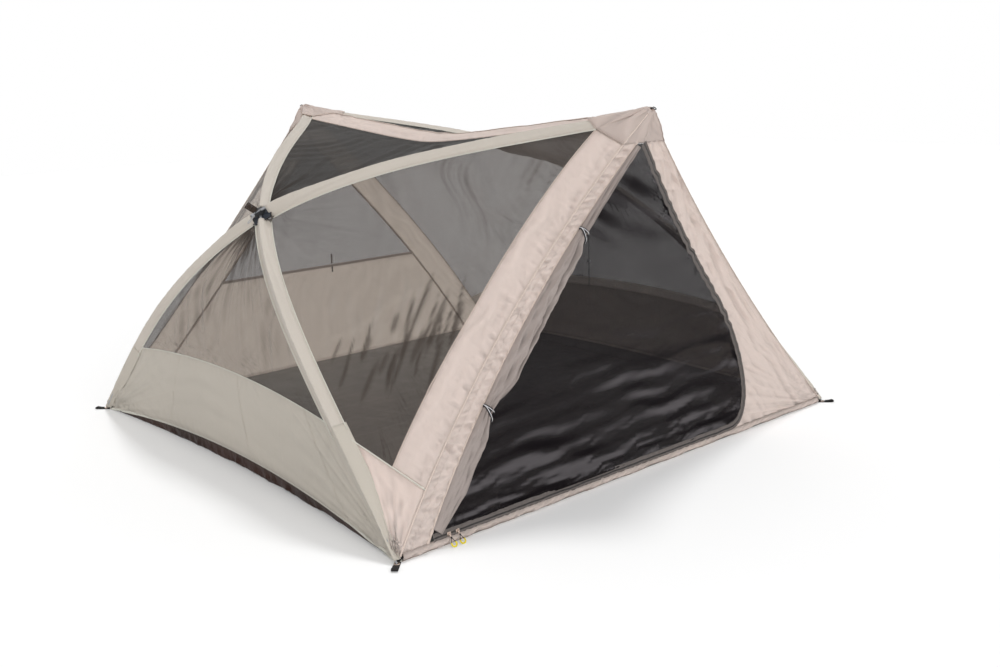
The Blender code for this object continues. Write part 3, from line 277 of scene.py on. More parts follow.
@dataclass(frozen=True)
class PitchedShape:
    """Sizes and lines that the poles and the cloth follow, in metres."""

    width: float = 2.10
    depth: float = 2.068
    peak_height: float = 1.194
    ridge_low: float = 1.10
    ridge_rounding: float = 0.15
    roof_blend: float = 0.25
    crossing_half_width: float = 0.822
    crossing_height: float = 0.876
    wall_bow: float = 0.078
    seam_bulge: float = 0.018
    panel_sag: float = 0.006
    slopes: tuple[float, ...] = (0.52, 0.215, 0.618, 0.62, 0.08, 1.04)
    pole_end_height: float = 0.0036
    skin_drop: float = 0.0094
    clip_step: float = 0.0114
    cap_lift: float = 0.0096
    patch_half: float = 0.036
    lift_reach: float = 0.30
    side_band: float = 0.122
    front_band: tuple[float, float] = (0.064, 0.098)
    rear_band: float = 0.15
    rear_panel_height: float = 0.47
    cap_reach: float = 0.20
    cap_seam_reach: float = 0.14
    cap_ridge_reach: float = 0.25
    cap_nose: float = 0.016
    cap_mouth: float = 0.011
    cap_foot: float = 0.036
    tub_height: float = 0.318
    tub_arch: float = 0.05
    hem_rise: float = 0.052
    hem_bow: float = 0.05
    corner_cut: float = 0.014
    pole_tip: float = 0.030
    sill: float = 0.032
    zip_top: tuple[float, float] = (0.016, 1.075)
    zip_shoulder: tuple[float, float] = (0.45, 0.52)
    zip_bulge: tuple[float, float] = (0.62, 0.30)
    zip_foot: float = 0.45
    zip_half: float = 0.0055
    zip_lead: float = 0.0145
    door_margin: float = 0.012
    upper_steps: int = 6
    mesh_steps: int = 6
    foot_steps: int = 4
    side_columns: int = 8
    seam_extra: float = 0.035

    @cached_property
    def peak(self) -> Array:
        """Front peak."""
        return point(0, -self.depth / 2, self.peak_height)

    @cached_property
    def crossing(self) -> Array:
        """Place where the poles cross on the left."""
        return point(-self.crossing_half_width, 0, self.crossing_height)

    @cached_property
    def corner(self) -> Array:
        """Left front corner on the ground."""
        return point(-self.width / 2, -self.depth / 2, 0)

    def upper(self, t: Array | float) -> Array:
        """Pole line from the front peak to the crossing."""
        out, down, cross_out, cross_down, _, _ = self.slopes
        reach = self.depth / 6
        return bezier((self.peak, self.peak + point(-out, 1, -down) * reach,
                       self.crossing - point(-cross_out, 1, -cross_down) * reach,
                       self.crossing), t)

    def lower(self, t: Array | float) -> Array:
        """Pole line from the crossing to the front corner."""
        _, _, cross_out, cross_down, foot_out, foot_down = self.slopes
        reach = self.depth / 6
        foot = self.corner + point(0, 0, self.pole_end_height)
        return bezier((self.crossing,
                       self.crossing + point(-cross_out, -1, -cross_down) * reach,
                       foot + point(foot_out, 1, foot_down) * reach, foot), t)

    def along(self, lower: bool, t: Array | float) -> Array:
        """Direction of a pole line at t."""
        line = self.lower if lower else self.upper
        t = np.asarray(t, float)
        return unit(line(np.minimum(t + 0.002, 1)) - line(np.maximum(t - 0.002, 0)))

    def stations(self, lower: bool, start: float, stop: float, steps: int) -> Array:
        """Curve values at even distances along a pole line.

        Args:
            lower: Whether it is the lower line.
            start: Distance left free at its beginning.
            stop: Distance left free at its end.
            steps: Number of intervals.

        Returns:
            The values, one more than there are intervals.
        """
        values = np.linspace(0, 1, 241)
        run = run_of((self.lower if lower else self.upper)(values))
        return np.interp(np.linspace(start, run[-1] - stop, steps + 1), run, values)

    @cached_property
    def tub_length(self) -> float:
        """Length of the lower line that lies below the top of the tub."""
        line = self.lower(np.linspace(0, 1, 201))
        steps = np.linalg.norm(np.diff(line, axis=0), axis=1)
        return float(steps[line[1:, 2] < self.tub_height].sum())

    @cached_property
    def lower_length(self) -> float:
        """Length of the lower line."""
        return float(run_of(self.lower(np.linspace(0, 1, 201)))[-1])

    @cached_property
    def upper_values(self) -> Array:
        """Stations of the upper line."""
        return self.stations(False, self.cap_reach, self.patch_half, self.upper_steps)

    @cached_property
    def mesh_values(self) -> Array:
        """Stations of the lower line beside the netting."""
        return self.stations(True, self.patch_half, self.tub_length, self.mesh_steps)

    @cached_property
    def foot_values(self) -> Array:
        """Stations of the lower line beside the tub."""
        return self.stations(True, self.lower_length - self.tub_length, self.pole_tip,
                             self.foot_steps)

    @staticmethod
    def plane_normal(a: Array, b: Array, c: Array) -> Array:
        """Unit normal of the plane through three points, facing out of the tent."""
        normal = unit(np.cross(b - a, c - a))
        return normal if normal @ (a - INSIDE) > 0 else -normal

    @cached_property
    def side_normal(self) -> Array:
        """Outward direction of the netting beside the door."""
        return self.plane_normal(self.peak, self.crossing, self.corner)

    @cached_property
    def top_normal(self) -> Array:
        """Outward direction of the roof netting."""
        return self.plane_normal(self.peak, self.crossing, self.peak * point(1, -1, 1))

    @cached_property
    def low_normal(self) -> Array:
        """Outward direction of the low side netting."""
        return self.plane_normal(self.corner, self.crossing, self.corner * point(1, -1, 1))

    @cached_property
    def crossing_axes(self) -> tuple[Array, Array, Array, Array]:
        """Centre, outer pole, inner pole and outward direction at the left crossing."""
        start = self.upper(self.upper_values[-1])
        finish = self.lower(self.mesh_values[0]) * point(1, -1, 1)
        chord = unit(finish - start)
        other = chord * point(1, -1, 1)
        normal = unit(np.cross(chord, other))
        return (start + finish) / 2, chord, other, normal if normal[0] < 0 else -normal

    def outward(self, lower: bool, t: Array | float) -> Array:
        """Outward direction of the canopy on a pole line, square to the line."""
        t = np.asarray(t, float)[..., None]
        cross = self.crossing_axes[3]
        if lower:
            normal = mix(cross, unit(self.side_normal + self.low_normal), t)
        else:
            normal = mix(unit(self.side_normal + self.top_normal), cross, t)
        along = self.along(lower, t[..., 0])
        return unit(normal - along * (normal * along).sum(-1, keepdims=True))

    def skin(self, lower: bool, t: Array | float) -> Array:
        """Canopy just under a sleeve."""
        line = self.lower if lower else self.upper
        return line(t) - self.outward(lower, t) * self.skin_drop

    def lift(self, points: Array) -> Array:
        """How far the outer pole stands off near the crossing."""
        far = np.linalg.norm(points - self.crossing, axis=-1) - self.patch_half * 1.1
        share = np.clip(far / self.lift_reach, 0, 1)
        return self.clip_step * (1 + np.cos(np.pi * share)) / 2

    def wall_y(self, z: Array | float) -> Array | float:
        """Depth at which the front wall stands at a height."""
        u = 1 - z / self.peak_height
        return -self.depth / 2 + self.wall_bow * 4 * u * (1 - u)

    def seam(self, u: Array | float) -> Array:
        """Edge seam between front and side, from the peak at 0 to the corner at 1."""
        u = np.asarray(u, float)[..., None]
        out = unit(point(-self.peak_height, 0, self.width / 2))
        line = (point(-self.width / 2, 0, -self.peak_height) * u + point(0, 0, self.peak_height)
                + out * self.seam_bulge * 4 * u * (1 - u))
        line[..., 1] = self.wall_y(line[..., 2])
        return line

    def seam_at(self, z: Array | float) -> Array:
        """Value on the edge seam at a height."""
        values = np.linspace(0, 1, 2001)
        return np.interp(-np.asarray(z, float), -self.seam(values)[:, 2], values)

    @cached_property
    def pole_side(self) -> Array:
        """Canopy under the sleeves at the stations, from the cap to the tub."""
        return np.concatenate((self.skin(False, self.upper_values),
                               self.skin(True, self.mesh_values)))

    @cached_property
    def seam_values(self) -> Array:
        """Places on the edge seam that belong to the stations of the poles."""
        line = unit(self.corner - self.peak)
        long = float(np.linalg.norm(self.corner - self.peak))
        projected = (self.pole_side - self.peak) @ line / long
        share = (projected - projected[0]) / (projected[-1] - projected[0])
        return mix(self.cap_seam_reach / long, projected[-1] + self.seam_extra / long, share)

    @cached_property
    def front_values(self) -> Array:
        """Stations of the edge seam down to the sill."""
        last, sill = self.seam_values[-1], float(self.seam_at(self.sill))
        feet = [mix(last, sill, 1 - (1 - k / self.foot_steps) ** 2)
                for k in range(1, self.foot_steps + 1)]
        return np.concatenate((self.seam_values, feet))

    @cached_property
    def cap_height(self) -> float:
        """Height of the rim of the front cap on the edge seam."""
        return float(self.seam(self.seam_values[0])[2])

    @cached_property
    def seam_edge(self) -> Array:
        """Edge seam at the stations."""
        return self.seam(self.seam_values)

    @cached_property
    def band_edge(self) -> Array:
        """Inner edge of the band beside the edge seam, at the stations."""
        return self.seam_edge + unit(self.pole_side - self.seam_edge) * self.side_band

    def door_edge(self, z: Array | float) -> Array:
        """Sewn edge of the door at a height."""
        u = self.seam_at(z)
        line = self.seam(u)
        line[..., 0] += mix(self.front_band[0], self.front_band[1], u)
        return line

    def roof(self, end: Array, share: float) -> Array:
        """Roof between a point near the front peak and its mirror near the rear peak."""
        straight = mix(self.ridge_low, self.crossing_height,
                       abs(end[0]) / self.crossing_half_width)
        middle = mix(end[2], straight, min(abs(end[1]) / self.roof_blend, 1))
        r = self.ridge_rounding
        profile = (math.sqrt(share ** 2 + r ** 2) - r) / (math.sqrt(1 + r ** 2) - r)
        return point(end[0], -end[1] * share, mix(middle, end[2], profile))

    @cached_property
    def ridge_end(self) -> Array:
        """Ridge line at the rim of the front cap."""
        y = -self.depth / 2 + self.cap_ridge_reach
        return self.roof(self.peak, y / (self.depth / 2))

    def arched(self, front: Array, up: float, inward: float) -> Array:
        """Row from a pole point to its mirror point, raised and drawn in at its middle."""
        share = np.linspace(0, 1, self.side_columns + 1)[:, None]
        swell = 4 * share * (1 - share)
        return mix(front, front * point(1, -1, 1), share) + point(inward, 0, up) * swell

    def sagging(self, first: Array, last: Array, columns: int) -> Array:
        """Rows between two lines, drawn in a little in the middle of the panel."""
        share = np.linspace(0, 1, columns + 1)[None, :, None]
        place = np.linspace(0, 1, len(first))[:, None, None]
        sag = self.panel_sag * 16 * share * (1 - share) * place * (1 - place)
        return mix(first[:, None], last[:, None], share) - self.side_normal * sag

    @cached_property
    def front_rows(self) -> Array:
        """Netting beside the door."""
        return self.sagging(self.band_edge, self.pole_side, 3)

    @cached_property
    def rear_rows(self) -> Array:
        """Netting beside the rear wall, drawn at the front."""
        return self.sagging(self.seam_edge, self.pole_side, 4)

    @cached_property
    def top_rows(self) -> Array:
        """Roof netting."""
        ends = self.skin(False, self.upper_values)
        shares = np.linspace(-1, 1, self.side_columns + 1)
        return np.array([[self.roof(end, s) for s in shares] for end in ends])

    @cached_property
    def low_rows(self) -> Array:
        """Low side netting."""
        rows = []
        for k, end in enumerate(self.skin(True, self.mesh_values)):
            share = (k / self.mesh_steps) ** 2
            rows.append(self.arched(end, self.tub_arch * share, self.panel_sag * share))
        return np.array(rows)

    @cached_property
    def corner_ends(self) -> tuple[Array, Array]:
        """Ends of the cut corner: on the front hem and on the side hem."""
        cut, drop = self.corner_cut, self.skin_drop
        return self.corner + point(cut + drop, drop, 0), self.corner + point(drop, cut + drop, 0)

    @cached_property
    def tub_rows(self) -> Array:
        """Low solid side wall, from its top seam down to its hem."""
        on_front, on_side = self.corner_ends
        ends = list(self.skin(True, self.foot_values)) + [on_side]
        seams = list(self.seam(self.front_values[-self.foot_steps - 1:])) + [on_front]
        rows = []
        for k, (end, edge) in enumerate(zip(ends, seams)):
            share = k / (len(ends) - 1)
            row = self.arched(end, mix(self.tub_arch, self.hem_rise, share),
                              mix(self.panel_sag, self.hem_bow, share ** 2))
            rows.append(np.concatenate(([edge], row, [edge * point(1, -1, 1)])))
        return np.array(rows)

    @cached_property
    def zip_line(self) -> Array:
        """Middle of the zip as x and z, from the top of the door to the left end of its foot."""
        top = np.array((self.zip_top[0], self.zip_top[1]))
        shoulder = np.array(self.zip_shoulder)
        z_top = self.cap_height - 2 * self.zip_half
        start = mix(shoulder, top, (z_top - shoulder[1]) / (top[1] - shoulder[1]))
        bulge, low = self.zip_bulge
        curve = bezier((shoulder, np.array((bulge, low)), np.array((bulge, self.sill)),
                        np.array((self.zip_foot, self.sill))), np.linspace(0, 1, 60))
        return evenly(np.concatenate(([start], curve)), 0.006)

    @cached_property
    def tall_zip_line(self) -> Array:
        """Line of the zip, led on under the peak cap."""
        line = self.zip_line
        return np.concatenate((line[:1] + unit(line[:1] - line[1:2]) * self.zip_lead, line))

    def beside_zip(self, line: Array, distance: float) -> Array:
        """Line beside the zip, away from the door where the distance is positive."""
        along = headings(line)
        return line + np.stack((-along[:, 1], along[:, 0]), axis=1) * distance

    def on_wall(self, line: Array) -> Array:
        """Points of the front wall for pairs of x and z."""
        return np.stack((line[:, 0], self.wall_y(line[:, 1]), line[:, 1]), axis=1)

    @cached_property
    def door_axis(self) -> tuple[Array, Array]:
        """Lowest and highest point of the line about which the door swings."""
        return self.door_edge(self.sill + self.zip_half), self.door_edge(self.cap_height)

    @cached_property
    def roll_axis(self) -> Array:
        """Direction across the rolled flap, away from the sewn edge."""
        low, high = self.door_axis
        slope = unit(high - low)
        return unit(point(slope[2], 0, -slope[0]))


# Meshes

def new_mesh(name: str, verts: Array, faces: Array | list,
             material: bpy.types.Material) -> bpy.types.Object:
    """Smooth object made from points and faces.

    Args:
        name: Name of the piece.
        verts: Points in the row frame.
        faces: Lists of point numbers.
        material: Its material.

    Returns:
        The linked object.
    """
    mesh = bpy.data.meshes.new(name)
    mesh.from_pydata(np.asarray(verts, float).tolist(), [],
                     faces.tolist() if isinstance(faces, np.ndarray) else faces)
    mesh.materials.append(material)
    mesh.shade_smooth()
    item = bpy.data.objects.new(name, mesh)
    bpy.context.scene.collection.objects.link(item)
    return item


def grid_faces(rows: int, columns: int, closed: bool = False) -> Array:
    """Quads between the points of a grid."""
    index = np.arange(rows * columns).reshape(rows, columns)
    if closed:
        index = np.concatenate((index, index[:, :1]), axis=1)
    return np.stack((index[:-1, :-1], index[:-1, 1:], index[1:, 1:], index[1:, :-1]),
                    axis=-1).reshape(-1, 4)


def sides_along(line: Array) -> tuple[Array, Array]:
    """Two directions square to a line at each point, with no twist between them."""
    along = headings(line)
    seed = UP if abs(along[0] @ UP) < 0.9 else point(1, 0, 0)
    side = unit(seed - along[0] * (seed @ along[0]))
    first = []
    for direction in along:
        side = unit(side - direction * (side @ direction))
        first.append(side)
    first = np.array(first)
    return first, np.cross(along, first)


def ring_faces(rings: int, sides: int, closed: bool = False) -> list:
    """Faces between rings of points, with end caps where the rings don't close on each other."""
    faces = grid_faces(rings, sides, closed=True).tolist()
    last = (rings - 1) * sides
    if closed:
        faces += [[last + k, last + (k + 1) % sides, (k + 1) % sides, k] for k in range(sides)]
    else:
        faces += [list(range(sides))[::-1], list(range(last, last + sides))]
    return faces


def tube_parts(line: Array, radius: float | Array, sides: int = 8,
               closed: bool = False) -> tuple[Array, list]:
    """Points and faces of a round tube along a line.

    Args:
        line: Its centre line.
        radius: Its radius, one or one for each point.
        sides: Number of its sides.
        closed: Whether its last point joins its first.

    Returns:
        Points and faces, with end caps where it is open.
    """
    first, second = sides_along(np.concatenate((line[-1:], line, line[:1])) if closed else line)
    if closed:
        first, second = first[1:-1], second[1:-1]
    turn = 2 * math.pi * np.arange(sides) / sides
    r = np.broadcast_to(np.asarray(radius, float), (len(line),))[:, None, None]
    ring = (line[:, None] + r * (np.cos(turn)[None, :, None] * first[:, None]
                                 + np.sin(turn)[None, :, None] * second[:, None]))
    return ring.reshape(-1, 3), ring_faces(len(line), sides, closed)


def ribbon_parts(line: Array, out: Array, width: float | Array,
                 height: float) -> tuple[Array, list]:
    """Points and faces of a flat band with rounded edges, such as a tape, a welt or webbing.

    Args:
        line: Its centre line.
        out: Direction of its thickness at each point.
        width: Its width, one or one for each point.
        height: Its thickness.

    Returns:
        Points and faces.
    """
    along = headings(line)
    out = unit(out - along * (out * along).sum(-1, keepdims=True))
    side = np.cross(along, out)
    turn = 2 * math.pi * (np.arange(RIBBON_SIDES) + 0.5) / RIBBON_SIDES
    wide = np.sign(np.cos(turn)) * np.abs(np.cos(turn)) ** 0.5
    w = np.broadcast_to(np.asarray(width, float), (len(line),))[:, None, None] / 2
    ring = (line[:, None] + w * wide[None, :, None] * side[:, None]
            + height / 2 * np.sin(turn)[None, :, None] * out[:, None])
    return ring.reshape(-1, 3), ring_faces(len(line), RIBBON_SIDES)


def lay_flat(item: bpy.types.Object, flat: Array, marks: dict[str, Array]) -> None:
    """Give a piece the flat places of its cloth and the marks that its finish reads.

    Args:
        item: The piece.
        flat: Place of each of its points on the cloth laid flat.
        marks: Values at its points, by name.
    """
    index = np.zeros(len(item.data.loops), np.int32)
    item.data.loops.foreach_get("vertex_index", index)
    layer = item.data.uv_layers.new(name="cloth")
    layer.uv.foreach_set("vector", flat[index].astype(np.float32).ravel())
    for mark, values in marks.items():
        attribute = item.data.attributes.new(mark, "FLOAT", "POINT")
        attribute.data.foreach_set("value", values.astype(np.float32).ravel())


def joined(parts: Sequence[tuple[Array, list]]) -> tuple[Array, list]:
    """Several meshes as one."""
    verts, faces, base = [], [], 0
    for points, polygons in parts:
        verts.append(points)
        faces.extend([[base + k for k in polygon] for polygon in polygons])
        base += len(points)
    return np.concatenate(verts), faces


def turned_out(item: bpy.types.Object) -> bpy.types.Object:
    """Turn the faces of closed bodies outwards."""
    bm = bmesh.new()
    bm.from_mesh(item.data)
    bmesh.ops.recalc_face_normals(bm, faces=bm.faces)
    bm.to_mesh(item.data)
    bm.free()
    return item


def slivers(name: str, centres: Array, along: Array, out: Array, size: Triple,
            material: bpy.types.Material) -> bpy.types.Object:
    """Many small spindles, such as stitches or zip teeth, as one object.

    Args:
        name: Name of the piece.
        centres: Middle of each.
        along: Long direction of each.
        out: Direction in which each stands off the cloth.
        size: Length, width and height of each.
        material: Their material.

    Returns:
        The linked object.
    """
    along = unit(along)
    out = unit(out - along * (out * along).sum(-1, keepdims=True))
    side = np.cross(out, along)
    half = np.array(size) / 2
    corners = [centres - along * half[0], centres + side * half[1], centres + out * half[2],
               centres - side * half[1], centres - out * half[2], centres + along * half[0]]
    verts = np.stack(corners, axis=1).reshape(-1, 3)
    pattern = np.array(((0, 2, 1), (0, 3, 2), (0, 4, 3), (0, 1, 4),
                        (5, 1, 2), (5, 2, 3), (5, 3, 4), (5, 4, 1)))
    faces = (pattern[None] + 6 * np.arange(len(centres))[:, None, None]).reshape(-1, 3)
    return new_mesh(name, verts, faces, material)


def placement(origin: Array, x_axis: Array, z_axis: Array) -> Array:
    """Placement with a given origin, x direction and z direction."""
    z = unit(z_axis)
    x = unit(x_axis - z * (x_axis @ z))
    frame = np.eye(4)
    frame[:3, 0], frame[:3, 1], frame[:3, 2], frame[:3, 3] = x, np.cross(z, x), z, origin
    return frame


def placed(frame: Array, points: Array) -> Array:
    """Points of a placement in the row frame."""
    return np.asarray(points, float) @ frame[:3, :3].T + frame[:3, 3]


@dataclass
class Sheet:
    """Grid of points of one piece of cloth, with the marks that its finish reads."""

    points: Array
    marks: dict[str, Array] = field(default_factory=dict)
    core: Array | None = None

    @cached_property
    def normals(self) -> Array:
        """Outward direction at each point."""
        down, across = np.gradient(self.points, axis=0), np.gradient(self.points, axis=1)
        normal = unit(np.cross(across, down))
        centre = INSIDE if self.core is None else self.core[:, None]
        facing = ((self.points - centre) * normal).sum(-1).mean()
        return normal if facing > 0 else -normal

    @cached_property
    def facing(self) -> Array:
        """Mean outward direction."""
        return unit(self.normals.reshape(-1, 3).mean(axis=0))

    @cached_property
    def runs(self) -> tuple[Array, Array]:
        """Distance of each point down its column and along its row."""
        down = np.linalg.norm(np.diff(self.points, axis=0), axis=-1)
        across = np.linalg.norm(np.diff(self.points, axis=1), axis=-1)
        down = np.concatenate((np.zeros((1, down.shape[1])), np.cumsum(down, axis=0)))
        across = np.concatenate((np.zeros((across.shape[0], 1)), np.cumsum(across, axis=1)),
                                axis=1)
        return down, across

    def to_border(self, *edges: Edge) -> Array:
        """Distance of each point to the nearest of some borders, or of all."""
        down, across = self.runs
        far = {Edge.FIRST_ROW: down, Edge.LAST_ROW: down[-1:] - down,
               Edge.FIRST_COLUMN: across, Edge.LAST_COLUMN: across[:, -1:] - across}
        return np.minimum.reduce([far[edge] for edge in (edges or tuple(Edge))])

    def moved(self, height: Array) -> Sheet:
        """The sheet with each point moved outwards by a height."""
        return Sheet(self.points + self.normals * height[..., None], dict(self.marks), self.core)

    def quieted(self, height: Array, width: float = 0.02, *edges: Edge) -> Sheet:
        """The sheet moved by a height that fades out at its borders, with its valleys marked for
        painted shade.
        """
        height = height * rise(self.to_border(*edges), 0, width)
        sheet = self.moved(height)
        # The finish darkens these valleys: painted shade in the folds.
        sheet.marks["valley"] = np.clip(-height / DARK_VALLEY, 0, DARKEST_VALLEY)
        return sheet

    def gathers(self, at: Array, reach: float, count: float, height: float, seed: int) -> Array:
        """Folds that radiate from a point.

        Args:
            at: The point.
            reach: Distance over which they fade.
            count: How many lie in one radian.
            height: Their height.
            seed: Which irregular wave they follow.

        Returns:
            Height at each point of the sheet.
        """
        offset = self.points - at
        far = np.linalg.norm(offset, axis=-1)
        middle = unit(offset.reshape(-1, 3).mean(axis=0))
        side = unit(np.cross(self.facing, middle))
        turn = np.arctan2(offset @ side, offset @ middle)
        return height * ripple(turn * count, seed=seed) * np.exp(-far / reach) * rise(far, 0, 0.03)

    def strokes(self, at: Array, direction: Array, spread: tuple[float, float], count: int,
                size: tuple[float, float], seed: int) -> Array:
        """Single creases, strewn round a point and drawn out along a direction.

        Args:
            at: Middle of the field.
            direction: Long direction of the creases.
            spread: Half width and half length of the field.
            count: Number of creases.
            size: Half width and half length of a crease.
            seed: Which random places they take.

        Returns:
            Share from 0 to 1 at each point of the sheet.
        """
        dice = np.random.default_rng(seed)
        direction = unit(direction)
        side = unit(np.cross(self.facing, direction))
        across, along = (self.points - at) @ side, (self.points - at) @ direction
        total = np.zeros(across.shape)
        for _ in range(count):
            u = dice.uniform(-1, 1) * spread[0]
            v = dice.uniform(-1, 1) * spread[1]
            wide, long = size[0] * dice.uniform(0.6, 1.5), size[1] * dice.uniform(0.5, 1.3)
            lean = dice.uniform(-0.12, 0.12)
            shape = np.exp(-((along - v) / long) ** 4)
            thin = wide * (0.35 + 0.65 * shape)
            total += np.exp(-((across - u - lean * (along - v)) / thin) ** 2) * shape
        return np.clip(total, 0, 1)

    def puckers(self, edge: Edge, pitch: float, height: float, width: float, seed: int) -> Array:
        """Short folds that stand square to a sewn border."""
        down, across = self.runs
        run = across if edge in (Edge.FIRST_ROW, Edge.LAST_ROW) else down
        away = self.to_border(edge)
        bend = away * 0.6 * ripple(run / 0.25, seed=seed + 7)
        return height * ripple((run + bend) / pitch, seed=seed) * (away / width) * np.exp(
            1 - away / width)

    def draws(self, direction: Array, pitch: float, height: float, seed: int,
              wander: float = 0.3, octaves: int = 2) -> Array:
        """Long folds that run along a direction."""
        direction = unit(direction)
        side = unit(np.cross(self.facing, direction))
        along, across = self.points @ direction, self.points @ side
        bent = across + wander * pitch * ripple(along / (pitch * 6), seed=seed + 3, octaves=2)
        strength = 0.6 + 0.4 * ripple(along / (pitch * 6) + across / (pitch * 4), seed=seed + 5,
                                      octaves=2)
        return height * ripple(bent / pitch, seed=seed, octaves=octaves) * strength

    def folded(self, height: Array, steep: float = 0.5, width: float = 0.02) -> Sheet:
        """The sheet moved by a height, marked where its folds are steep and where they turn upwards.
        """
        height = height * rise(self.to_border(), 0, width)
        down, across = self.runs
        slopes = [np.gradient(height, axis=k) / np.maximum(np.gradient(run, axis=k), 1e-5)
                  for k, run in enumerate((down, across))]
        sheet = self.moved(height)
        # Fold mark: the netting finish makes steep folds denser, like doubled netting, and darker,
        # which is painted shade.
        sheet.marks["fold"] = np.clip(np.hypot(*slopes) / steep, 0, 1) ** 1.5
        # Shine mark: where a fold turns upwards the finish paints a highlight.
        sheet.marks["shine"] = rise(sheet.normals[..., 2] - self.normals[..., 2], 0.03, 0.45)
        return sheet

    def line_by(self, edge: Edge, inset: float, lift: float = 0.0004) -> tuple[Array, Array]:
        """Line at a distance inside a border.

        Args:
            edge: The border.
            inset: The distance.
            lift: How far the line stands off the sheet.

        Returns:
            Its points and the outward directions there.
        """
        points, normals, (down, across) = self.points, self.normals, self.runs
        if edge in (Edge.FIRST_ROW, Edge.LAST_ROW):
            points, normals, across = (points.transpose(1, 0, 2), normals.transpose(1, 0, 2),
                                       down.T)
        if edge in (Edge.LAST_ROW, Edge.LAST_COLUMN):
            goal = across[:, -1] - inset
        else:
            goal = np.full(len(across), inset)
        line, out = [], []
        for row, normal, run, place in zip(points, normals, across, goal):
            line.append([np.interp(place, run, row[:, k]) for k in range(3)])
            out.append([np.interp(place, run, normal[:, k]) for k in range(3)])
        line, out = np.array(line), unit(np.array(out))
        return line + out * lift, out

    def size(self) -> Triple:
        """Width, length and area of the sheet laid flat."""
        down, across = self.runs
        a = self.points[:-1, :-1] - self.points[1:, 1:]
        b = self.points[1:, :-1] - self.points[:-1, 1:]
        area = float(np.linalg.norm(np.cross(a, b), axis=-1).sum() / 2)
        width, length = float(across[:, -1].max()), float(down[-1].max())
        if width * length < area:
            length = area / width
        return round(width, 3), round(length, 3), area

    def build(self, name: str, material: bpy.types.Material, body: str,
              thickness: float = CLOTH_THICKNESS, inward: bool = False,
              held: str = "stretched") -> bpy.types.Object:
        """Object of the sheet, riding on a body.

        Args:
            name: Name of the piece.
            material: Its material.
            body: Body on which it rides, or nothing where it is left unattached.
            thickness: Thickness of the cloth, or 0 for netting.
            inward: Whether the thickness is added on the inner face.
            held: How the cloth is held; not used.

        Returns:
            The object.
        """
        rows, columns = self.points.shape[:2]
        faces = grid_faces(rows, columns)
        down, across = np.gradient(self.points, axis=0), np.gradient(self.points, axis=1)
        if (np.cross(across, down) * self.normals).sum(-1).mean() > 0:
            faces = faces[:, ::-1]
        item = new_mesh(name, self.points.reshape(-1, 3), faces, material)
        run_down, run_across = self.runs
        lay_flat(item, np.stack((run_across.ravel(), run_down.ravel()), axis=1),
                 {"seam_wear": np.exp(-self.to_border() / SEAM_DARK_WIDTH), **self.marks})
        if thickness:
            shell = item.modifiers.new("cloth", "SOLIDIFY")
            shell.thickness = thickness
            shell.offset = -1 if inward else 1
        if body:
            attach(item, body)
        width, length, area = self.size()
        area = min(area, width * length)
        LOG.info("%s: cloth %.3f by %.3f m, %.3f square metres", name, width, length, area)
        return item


# Finishes

def tinted(colour: Triple, share: float, most: float = 1.0) -> Triple:
    """Colour made darker or brighter by a share."""
    return tuple(min(part * share, most) for part in colour)


class NodeTree:
    """Short way to write the nodes of a material or of the world."""

    def __init__(self, owner: bpy.types.Material | bpy.types.World) -> None:
        """Empty node tree of its owner."""
        owner.use_nodes = True
        self.tree = owner.node_tree
        self.tree.nodes.clear()

    def add(self, kind: str, inputs: dict | None = None, **settings: object) -> bpy.types.Node:
        """New node with its settings and the values of its sockets."""
        node = self.tree.nodes.new(kind)
        for key, value in settings.items():
            setattr(node, key, value)
        for key, value in (inputs or {}).items():
            node.inputs[key].default_value = value
        return node

    def wire(self, a: bpy.types.Node, out: str | int, b: bpy.types.Node, into: str | int) -> None:
        """Link between two sockets."""
        self.tree.links.new(a.outputs[out], b.inputs[into])

    def maths(self, operation: str, a: tuple | float, b: tuple | float,
              clamp: bool = False) -> tuple[bpy.types.Node, int]:
        """Result of a sum on numbers or on other results.

        Args:
            operation: Name of the sum.
            a: First value, or node and socket.
            b: Second value, or node and socket.
            clamp: Whether the result is kept from 0 to 1.

        Returns:
            The node and the number of its socket.
        """
        node = self.add("ShaderNodeMath", operation=operation, use_clamp=clamp)
        for k, value in enumerate((a, b)):
            if isinstance(value, tuple):
                self.wire(*value, node, k)
            else:
                node.inputs[k].default_value = value
        return node, 0


